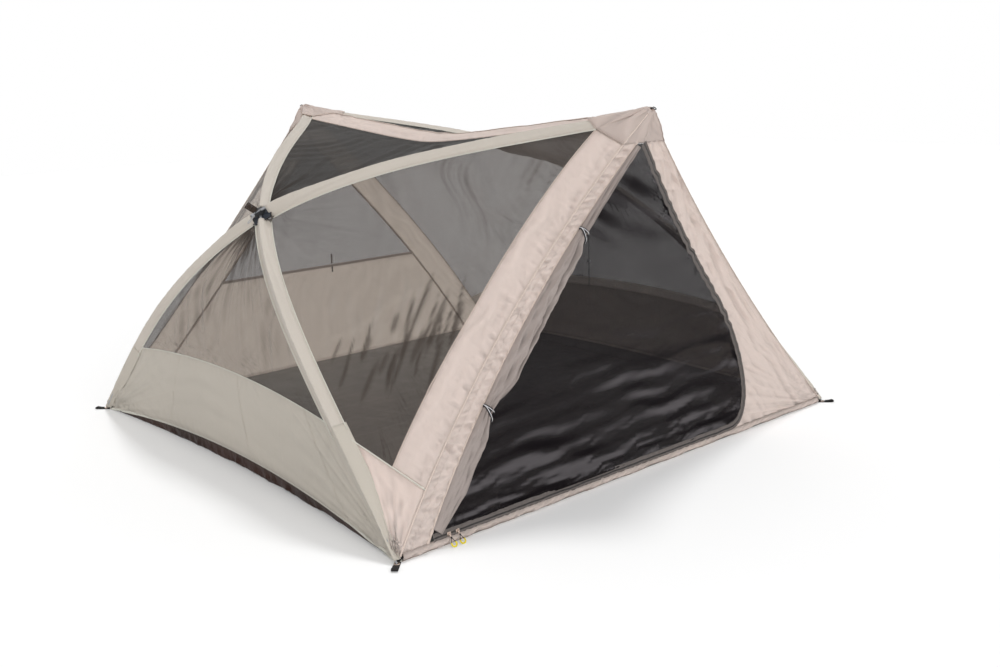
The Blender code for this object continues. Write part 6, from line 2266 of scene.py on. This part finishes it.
@dataclass
class Doorway(SubAssembly):
    """Netting door, its zip, the two sliders and their cord pulls."""

    columns: int = 150
    tape: float = 0.010
    door_tape: float = 0.014
    tooth_pitch: float = 0.0022
    parking: tuple[float, float] = (0.068, 0.100)
    pull_length: float = 0.040
    pull_width: float = 0.017
    tab_length: float = 0.012
    pull_cord: float = 0.002
    zip_thickness: float = 0.0022
    plate: float = 0.0022

    def make(self) -> None:
        """Build the door and its zip."""
        self.door()
        self.zip()
        for side in Side:
            self.pull(side)
            dress(f"zip_slider_{side.word}", self.finish["metal"])

    def door(self) -> None:
        """Netting door with folds that sweep up from its foot, painted lighter as highlights where
        they turn up and darker as shade where they are steep.
        """
        shape = self.shape
        edge = shape.beside_zip(shape.tall_zip_line, -shape.zip_half)
        edge = evenly(edge, 0.0085)
        outer = shape.on_wall(edge)
        inner = shape.door_edge(edge[:, 1])
        inner[:, 0] = np.minimum(inner[:, 0], outer[:, 0] - 0.004)
        share = np.linspace(0, 1, self.columns + 1)[None, :, None]
        rows = inner[:, None] * (1 - share) + outer[:, None] * share
        rows[..., 1] = shape.wall_y(rows[..., 2])
        sheet = Sheet(rows)
        x, z = rows[..., 0], rows[..., 2]
        low = rise(z, 0.62, 0.10)
        high = rise(z, 0.55, 0.95)
        right = rise(x, 0.0, 0.5) * rise(z, 0.45, 0.05)
        near_foot = rise(z, 0.22, 0.03)
        height = (sheet.draws(point(1, 0, -0.12), pitch=0.170, height=0.0080, seed=203, wander=0.10,
                              octaves=1) * low
                  + sheet.draws(point(1, 0, 0.04), pitch=0.090, height=0.0036, seed=206,
                                wander=0.12, octaves=1) * low
                  + sheet.draws(point(1, 0, 0.14), pitch=0.040, height=0.0014, seed=208,
                                wander=0.20, octaves=2) * low
                  + sheet.draws(point(1, 0, -0.36), pitch=0.150, height=0.0070, seed=207,
                                wander=0.15, octaves=1) * high
                  + sheet.draws(point(1, 0, 0.34), pitch=0.070, height=0.0045, seed=204,
                                wander=0.15, octaves=1) * right
                  + sheet.draws(point(1, 0, 0.02), pitch=0.036, height=0.0030, seed=205,
                                wander=0.15) * near_foot
                  + sheet.puckers(Edge.LAST_COLUMN, pitch=0.045, height=0.0016, width=0.018,
                                  seed=209)
                  + sheet.puckers(Edge.LAST_ROW, pitch=0.030, height=0.0016, width=0.014, seed=211))
        height = height * rise(np.ptp(x, axis=1)[:, None], 0.02, 0.25)
        belly = -0.012 * rise(sheet.to_border(), 0, 0.30)
        sheet = sheet.folded(height + belly, steep=0.42, width=0.022)
        item = self.cloth(sheet, "door_netting", "door_netting", "insect_mesh",
                          ["mesh_door", "mesh_door_margin"], body="", thickness=0)
        low_end, _ = shape.door_axis
        tuple(low_end + shape.roll_axis * 0.002)
        tuple(low_end + shape.roll_axis * 0.060)
        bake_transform(item)

    def zip(self) -> None:
        """Two tapes that meet at a row of teeth, with their stitches."""
        shape = self.shape
        left = shape.door_edge(shape.sill)[0] + shape.door_margin
        start = shape.zip_line[-1]
        bottom = np.stack((np.linspace(start[0], left, 220), np.full(220, shape.sill)), axis=1)
        line = evenly(np.concatenate((shape.tall_zip_line, bottom[1:])), 0.004)
        run = run_of(line)
        wave = (0.0026 * ripple(run / 0.075, seed=221, octaves=2)
                * rise(run, 0, 0.1) * rise(1.1 - run, 0, 0.2))
        wave += 0.0008 * ripple(run / 0.14, seed=222, octaves=2) * rise(run[-1] - run, 0, 0.1)
        line = line + (shape.beside_zip(line, 1.0) - line) * wave[:, None]
        for name, body, sign, width, node in (
                ("frame", "tent", 1, self.tape, "zip_frame_half"),
                ("door", "door", -1, self.door_tape, "zip_door_half")):
            middle = shape.on_wall(shape.beside_zip(line, sign * (width / 2 + 0.0004)))
            out = self.wall_normals(middle)
            lift = 0.0012 + 0.0006 * ripple(run / 0.035, seed=223)
            tape = (middle + out * lift[:, None], out)
            self.banded(f"{name}_zip_tape", [tape], width=width, height=0.0010, finish="zip_tape",
                        slot="webbing", body=body, replaced=[node])
            rows = [shape.beside_zip(line, sign * (width * share)) for share in (0.62, 0.86)]
            self.stitched(f"{name}_zip_stitches",
                          [(shape.on_wall(row) + out * (lift + 0.0006)[:, None], out) for row in rows],
                          finish="dark_thread", pitch=0.0035, slot="webbing", body=body)
            self.teeth(f"{name}_zip_teeth", line, sign, body)

    def teeth(self, name: str, line: Array, sign: int, body: str) -> None:
        """Row of teeth on one tape, set half a pitch from those on the other."""
        shape = self.shape
        row = evenly(line, self.tooth_pitch)
        shift = 0.25 * self.tooth_pitch * sign
        along = headings(row)
        centre = shape.beside_zip(row, sign * 0.0011) + along * shift
        points = shape.on_wall(centre)
        out = self.wall_normals(points)
        cross = np.stack((-along[:, 1], np.zeros(len(along)), along[:, 0]), axis=1)
        item = slivers(name, points + out * 0.0020, cross, out, (0.0042, 0.0015, 0.0018),
                       self.finish["coil"])
        self.hold(item, "webbing", body)

    def wall_normals(self, points: Array) -> Array:
        """Outward directions of the front wall."""
        z = points[:, 2]
        slope = (self.shape.wall_y(z + 0.002) - self.shape.wall_y(z - 0.002)) / 0.004
        return unit(np.stack((np.zeros_like(z), -np.ones_like(z), slope), axis=1))

    def pull(self, side: Side) -> None:
        """Pull of a slider, lying on the ground: its metal tab and its cord."""
        shape, name = self.shape, side.word
        parked = self.parking[0 if side is Side.LEFT else 1]
        x = float(shape.door_edge(shape.sill)[0]) + parked
        wall = shape.on_wall(np.array(((x, shape.sill),)))
        out = self.wall_normals(wall)[0]
        top = self.zip_thickness + 0.0006 + self.plate
        pivot = wall[0] + out * (top + 0.0003 + self.pull_cord / 2)
        drop = pivot[2] - self.pull_cord / 2 - 0.0012
        down = point(0, -math.sqrt(self.pull_length ** 2 - drop ** 2), -drop) / self.pull_length
        tab_line = pivot + down * np.linspace(-0.001, self.tab_length, 12)[:, None]
        out = unit(np.cross(point(1, 0, 0), down))
        outs = everywhere(out, tab_line)
        self.banded(f"{name}_pull_tab", [(tab_line, outs)], width=0.0058, height=0.0014,
                    finish="metal", slot="slider_metal", body=f"{name}_pull")
        self.pull_loop(name, pivot, down)

    def pull_loop(self, name: str, pivot: Array, down: Array) -> None:
        """Cord loop of a pull, its knot and the sleeve round its end."""
        half_wide, start = self.pull_width / 2, self.tab_length - 0.002
        length = self.pull_length - start
        loop = [(0.0010, 0.0), (0.0016, 0.16), (0.0062, 0.50), (half_wide, 0.74),
                (half_wide * 0.86, 0.88), (half_wide * 0.45, 0.98)]
        loop = [(w, start + length * d) for w, d in loop] + [(0.0, self.pull_length)] + [
            (-w, start + length * d) for w, d in reversed(loop)]
        points = [pivot + point(w, 0, 0) + down * d for w, d in loop + loop[:1]]
        line = evenly(bent(points, 0.001), 0.001)[:-1]
        body = f"{name}_pull"
        self.corded(f"{body}_cord", line, self.pull_cord / 2, "black_cord", body,
                    [f"zip_pull_{name}"], closed=True)
        far = (line - pivot) @ down
        knot = pivot + down * np.linspace(start + 0.001, start + 0.006, 6)[:, None]
        self.corded(f"{body}_knot", knot, np.array((14, 22, 24, 24, 22, 14)) / 1e4,
                    "black_cord", body, sides=12)
        self.corded(f"{body}_sleeve", line[far > start + length * 0.56],
                    self.pull_cord / 2 + 0.0013, "yellow_cord", body, sides=12)


@dataclass
class StormFlap(SubAssembly):
    """Storm flap rolled up along the door's sewn edge, with its ties and their tail."""

    width: float = 0.066
    tie_width: float = 0.030
    depth: float = 0.040
    foot: float = 0.058
    rings: int = 300
    turns: int = 96
    fill: float = 0.4
    ties: tuple[float, float] = (0.847, 0.364)
    tie_cord: float = 0.0028
    tie_drops: tuple[float, float] = (0.004, 0.026)
    tail_length: float = 0.165
    tail_cord: float = 0.002

    def make(self) -> None:
        """Build the roll, its ties and the tail."""
        self.roll()
        for z, name in zip(self.ties, ("upper", "lower")):
            self.tie(z, name)
        self.tail()

    def shape_at(self, z: float) -> tuple[float, float, float, Array]:
        """Half width, depth, gap to the wall and middle of the roll at a height."""
        shape = self.shape
        pinch = max(math.exp(-((z - tie) / 0.05) ** 2) for tie in self.ties)
        taper = min((shape.cap_height + 0.02 - z) / 0.25, (z - self.foot) / 0.12 + 0.1, 1)
        slim = 1 - 0.42 * float(rise(z, self.ties[0] - 0.02, self.ties[0] + 0.08))
        flat = 1 - 0.55 * float(rise(z, self.ties[1] - 0.03, self.ties[1] - 0.14))
        width = mix(self.width, self.tie_width, pinch) * mix(0.45, 1, taper) * slim
        depth = mix(self.depth, self.tie_width * 0.8, pinch) * mix(0.6, 1, taper) * slim * flat
        gap = 0.0014 + (self.tie_cord + 0.0009) * pinch
        start = point(float(shape.door_edge(z)[0]) - 0.002, 0, z)
        return width / 2, depth * 0.9, gap, start + shape.roll_axis * (width / 2)

    def on_roll(self, z: float, angle: float, swell: float = 0.0, scale: float = 1.0) -> Array:
        """Point at a height and an angle round the roll, which lies flat to the wall."""
        half_width, depth, gap, centre = self.shape_at(z)
        share = math.cos(angle)
        spot = centre + self.shape.roll_axis * ((half_width + swell) * share)
        reach = (share - 0.3) / (0.7 if share > 0.3 else 1.3)
        crown = math.sqrt(max(1 - reach * reach, 0)) ** 1.2
        front = depth * crown * scale + swell if math.sin(angle) < 0 else -swell
        blunt = min(abs(math.sin(angle)) * 3, 1)
        spot[1] = self.shape.wall_y(spot[2]) - gap - front * blunt
        return spot

    def roll_rings(self) -> tuple[Array, Array]:
        """Rings of the rolled cloth with its free edge, folds and crumples, and their valleys, where
        painted shade goes.
        """
        heights = np.linspace(self.foot, self.shape.cap_height - 0.004, self.rings)
        turns = self.turns
        rings, valleys = [], []
        for z in heights:
            pinch = max(math.exp(-((z - tie) / 0.035) ** 2) for tie in self.ties)
            edge = 0.35 + 0.22 * math.sin(5.5 * z + 0.6) * (1 - pinch)
            ring = []
            for k in range(turns):
                angle = 2 * math.pi * k / turns
                share = math.cos(angle)
                over = float(rise(edge - share, -0.04, 0.05))
                places = np.array((share * 1.15 + z * 2.6, share * 2.1 - z * 4.0,
                                   z / 0.055 + share * 1.5))
                waves = [float(ripple(place, seed=231 + n, octaves=2))
                         for n, place in enumerate(places)]
                scale = (0.66 + 0.19 * over + 0.24 * waves[0] + (0.12 + 0.10 * pinch) * waves[1]
                         + 0.07 * waves[2])
                valleys.append(1 - float(rise(scale, 0.45, 0.82)))
                ring.append(self.on_roll(float(z), angle, 0.0, scale))
            rings.append(ring)
        return np.array(rings), np.array(valleys)

    def roll(self) -> None:
        """Loosely rolled cloth, hollow at both ends."""
        grid, valleys = self.roll_rings()
        for last, step in ((0, 1), (-1, -1)):
            centre = grid[last].mean(axis=0)
            inward = unit((grid[last + step] - grid[last]).mean(axis=0))
            extra = np.array([mix(centre, grid[last], share) + inward * depth
                              for share, depth in ((0.72, 0.004), (0.66, 0.012), (0.3, 0.014))])
            grid = np.concatenate((extra[::-1], grid)) if last == 0 else np.concatenate(
                (grid, extra))
        verts = grid.reshape(-1, 3)
        item = self.solid("rolled_flap", [(verts, ring_faces(len(grid), self.turns))], "flap",
                          "canopy_fabric", replaced=["storm_flap_roll"])
        # The valleys darken the flap: painted shade in the roll's creases.
        wear = np.pad(valleys, (len(verts) - len(valleys)) // 2, mode="edge")
        lay_flat(item, np.stack((verts[:, 0] - verts[:, 1], verts[:, 2] * 1.2), axis=1),
                 {"seam_wear": wear})

    def tie(self, z: float, name: str) -> None:
        """Two strands of cord with a pale stripe, which part towards the free side."""
        turns = np.linspace(0, 2 * math.pi, 65)
        bands, stripes, ends = [], [], []
        for drop in self.tie_drops:
            near, far = (np.array([self.on_roll(z - drop * (math.cos(turn) + 1) / 2, turn, swell)
                                   for turn in turns])
                         for swell in (self.tie_cord / 2 + 0.0003, self.tie_cord / 2 + 0.0019))
            bands.append((near, far - near))
            stripes.append((far, far - near))
            ends.append(far[0])
        self.banded(f"{name}_tie_cord", bands, width=0.0090, height=0.0034, finish="black_cord",
                    slot="webbing", replaced=[f"storm_flap_tie_{name}"])
        self.banded(f"{name}_tie_stripe", stripes, width=0.0020, height=0.0012,
                    finish="pale_stripe", slot="webbing")
        if name == "upper":
            ends.append(self.tail_top)
        line = evenly(np.array(ends), 0.002)
        self.corded(f"{name}_tie_toggle", line, 0.0026, "plastic")

    @property
    def tail_top(self) -> Array:
        """Upper end of the tail, above the hole of its bead."""
        low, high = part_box("tie_tail_cord")
        return point((low[0] + high[0]) / 2, (low[1] + high[1]) / 2, high[2])

    def tail(self) -> None:
        """Tail of the upper tie, which hangs beside the roll with a bead on it."""
        start = self.tail_top
        line = start - UP * (self.tail_length * np.linspace(0, 1, 67))[:, None]
        item = self.corded("tie_tail", line, self.tail_cord / 2, "black_cord", "tail",
                           ["tie_tail_cord"])
        dress("tie_tail_bead", self.finish["plastic"])


@dataclass
class CornerSet(SubAssembly):
    """Webbing with a grommet and a peg loop at each corner."""

    grommet: float = 0.0073

    def make(self) -> None:
        """Build the four corners."""
        for side in Side:
            for end in End:
                self.corner(side, end)

    def corner(self, side: Side, end: End) -> None:
        """Folded webbing under the pole tip, its peg loop and a strap to the hem."""
        shape = self.shape
        name = f"{end.word}_{side.word}"
        centre = mirrored(shape.corner, side, end)
        outward = unit(point(side.value, end.value, 0))
        across = np.cross(UP, outward)
        frame = placement(centre, outward, UP)
        places = np.array(((-0.018, 0, 0.0012), (0.006, 0, 0.0011), (0.030, 0, 0.0013),
                           (0.043, 0, 0.0030), (0.046, 0, 0.0055), (0.042, 0, 0.0075),
                           (0.028, 0, 0.0056), (0.012, 0, 0.0042)))
        line = evenly(bent(placed(frame, places), 0.002), 0.002)
        outs = np.cross(everywhere(across, line), headings(line))
        self.banded(f"{name}_peg_loop", [(line, outs)], width=0.020, height=0.0016,
                    finish="webbing", slot="webbing", replaced=[f"{name}_webbing"])
        edges = [(line + across * sign * 0.0094, outs) for sign in (-1, 1)]
        self.stitched(f"{name}_peg_loop_stitches", edges, finish="tan_tape", pitch=0.003,
                      slot="webbing")
        turn = np.linspace(0, 2 * math.pi, 33)[:-1]
        ring = np.stack((self.grommet * np.cos(turn), self.grommet * np.sin(turn),
                         np.full(32, 0.0044)), axis=1)
        self.corded(f"{name}_grommet", placed(frame, ring), 0.0018, "metal", closed=True)
        strap = np.array(((-0.006, 0, 0.0048), (-0.020, 0.008, 0.010), (-0.032, 0.018, 0.014)))
        lines = []
        for sign in (-1, 1):
            path = evenly(bent(placed(frame, strap * np.array((1, sign, 1))), 0.002), 0.002)
            lines.append((path, everywhere(outward, path)))
        self.banded(f"{name}_corner_straps", lines, width=0.008, height=0.0014, finish="webbing",
                    slot="webbing")


@dataclass
class RearToggle(SubAssembly):
    """Toggle and tape loop at the foot of the rear window."""

    x: float = 0.045

    def make(self) -> None:
        """Dress the toggle and add its loop of tape."""
        shape = self.shape
        dress("rear_toggle", self.finish["plastic"])
        y = -float(shape.wall_y(shape.rear_panel_height)) - 0.0030
        places = [(self.x, y, shape.rear_panel_height + dz) for dz in (0.052, 0.03, 0.006)]
        line = evenly(np.array(places), 0.003)
        line[:, 1] = -shape.wall_y(line[:, 2]) - 0.0026
        outs = everywhere(point(0, -1, 0), line)
        self.banded("rear_toggle_tape", [(line, outs)], width=0.009, height=0.0012,
                    finish="webbing", slot="webbing")


def dress(name: str, material: bpy.types.Material) -> None:
    """Give a kept node its finish."""
    item = bpy.data.objects[name]
    item.data.materials.clear()
    item.data.materials.append(material)


# Studio

@dataclass(frozen=True)
class Studio:
    """Camera of the photograph, white floor and soft lamps."""

    place: Triple = (-2.626, -3.328, 1.326)
    yaw: float = math.radians(40.79)
    pitch: float = math.radians(13.65)
    roll: float = math.radians(-1.68)
    focal_pixels: float = 1078.9
    picture: tuple[int, int] = (1000, 667)
    sensor: float = 36.0
    horizon: float = 0.95
    zenith: float = 0.36
    floor_half: float = 14.0
    floor_colour: Triple = (0.82, 0.82, 0.82)
    floor_glow: float = 0.11

    def make(self) -> None:
        """Build the camera, the floor, the sky and the lamps."""
        self.camera()
        self.floor()
        self.world()
        self.lamp("key", (-0.12, -0.85, 0.55), spread=48, power=1.05)
        self.lamp("overhead", (0.36, 0.24, 1.0), spread=12, power=1.25)
        fill = self.lamp("fill", (-0.70, -0.62, 0.22), spread=20, power=0.55)
        fill.use_shadow = False

    def camera(self) -> None:
        """Camera that stands where the photograph was taken."""
        forward = point(math.sin(self.yaw) * math.cos(self.pitch),
                        math.cos(self.yaw) * math.cos(self.pitch), -math.sin(self.pitch))
        level = point(math.cos(self.yaw), -math.sin(self.yaw), 0)
        up = np.cross(level, forward)
        right = level * math.cos(self.roll) + up * math.sin(self.roll)
        above = -level * math.sin(self.roll) + up * math.cos(self.roll)
        frame = np.eye(4)
        frame[:3, 0], frame[:3, 1], frame[:3, 2], frame[:3, 3] = right, above, -forward, self.place
        data = bpy.data.cameras.new("camera")
        data.sensor_width = self.sensor
        data.lens = self.focal_pixels / self.picture[0] * self.sensor
        data.clip_start = 0.05
        item = bpy.data.objects.new("camera", data)
        item.matrix_world = Matrix(frame.tolist())
        bpy.context.scene.collection.objects.link(item)
        bpy.context.scene.camera = item

    def floor(self) -> None:
        """White floor that keeps the soft shadow of the tent."""
        nodes = MaterialNodes("studio_floor")
        nodes.set(Base_Color=(*self.floor_colour, 1), Roughness=0.9, Specular_IOR_Level=0.0)
        paths = nodes.add("ShaderNodeLightPath")
        glow = nodes.maths("MULTIPLY", (paths, "Is Camera Ray"), self.floor_glow)
        nodes.set(Emission_Color=(1, 1, 1, 1))
        nodes.paint(glow, "Emission Strength")
        half = self.floor_half
        corners = [(-half, -half, 0), (half, -half, 0), (half, half, 0), (-half, half, 0)]
        item = new_mesh("studio_floor", np.array(corners), [[0, 1, 2, 3]], nodes.material)

    def world(self) -> None:
        """White surroundings, which give less light from overhead than from the sides."""
        world = bpy.data.worlds.new("surroundings")
        nodes = NodeTree(world)
        paths = nodes.add("ShaderNodeLightPath")
        either = nodes.maths("MAXIMUM", (paths, "Is Camera Ray"), (paths, "Is Transmission Ray"))
        where = nodes.add("ShaderNodeTexCoord")
        parts = nodes.add("ShaderNodeSeparateXYZ")
        nodes.wire(where, "Generated", parts, 0)
        height = nodes.add("ShaderNodeMapRange", {"To Min": self.horizon, "To Max": self.zenith})
        nodes.wire(parts, "Z", height, "Value")
        strength = nodes.add("ShaderNodeMapRange", {"To Max": 1.0})
        nodes.wire(*either, strength, "Value")
        nodes.wire(height, 0, strength, "To Min")
        background = nodes.add("ShaderNodeBackground", {"Color": (1, 1, 1, 1)})
        nodes.wire(strength, 0, background, "Strength")
        nodes.wire(background, 0, nodes.add("ShaderNodeOutputWorld"), "Surface")
        bpy.context.scene.world = world
        bpy.context.scene.view_settings.view_transform = "Standard"

    def lamp(self, name: str, toward: Triple, spread: float,
             power: float) -> bpy.types.Light:
        """Soft distant lamp that stands in a direction, as wide as its spread in degrees."""
        data = bpy.data.lights.new(name, "SUN")
        data.angle = math.radians(spread)
        data.energy = power
        item = bpy.data.objects.new(name, data)
        away = unit(np.array(toward, float))
        item.matrix_world = Matrix(placement(away * 5, point(1, 0, 0.01), away).tolist())
        bpy.context.scene.collection.objects.link(item)
        return data


def main() -> None:
    """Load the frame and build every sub-assembly."""
    logging.basicConfig(level=logging.INFO, format="%(name)s: %(message)s")
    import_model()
    Studio().make()
    shape = PitchedShape()
    finish = Finishes().make()
    for part in (GroundSheet, Canopy, SideNetting, SleeveSet, PoleSet, CrossingSet, Doorway,
                 StormFlap, CornerSet, RearToggle):
        part(shape, finish).make()


if __name__ == "__main__":
    main()
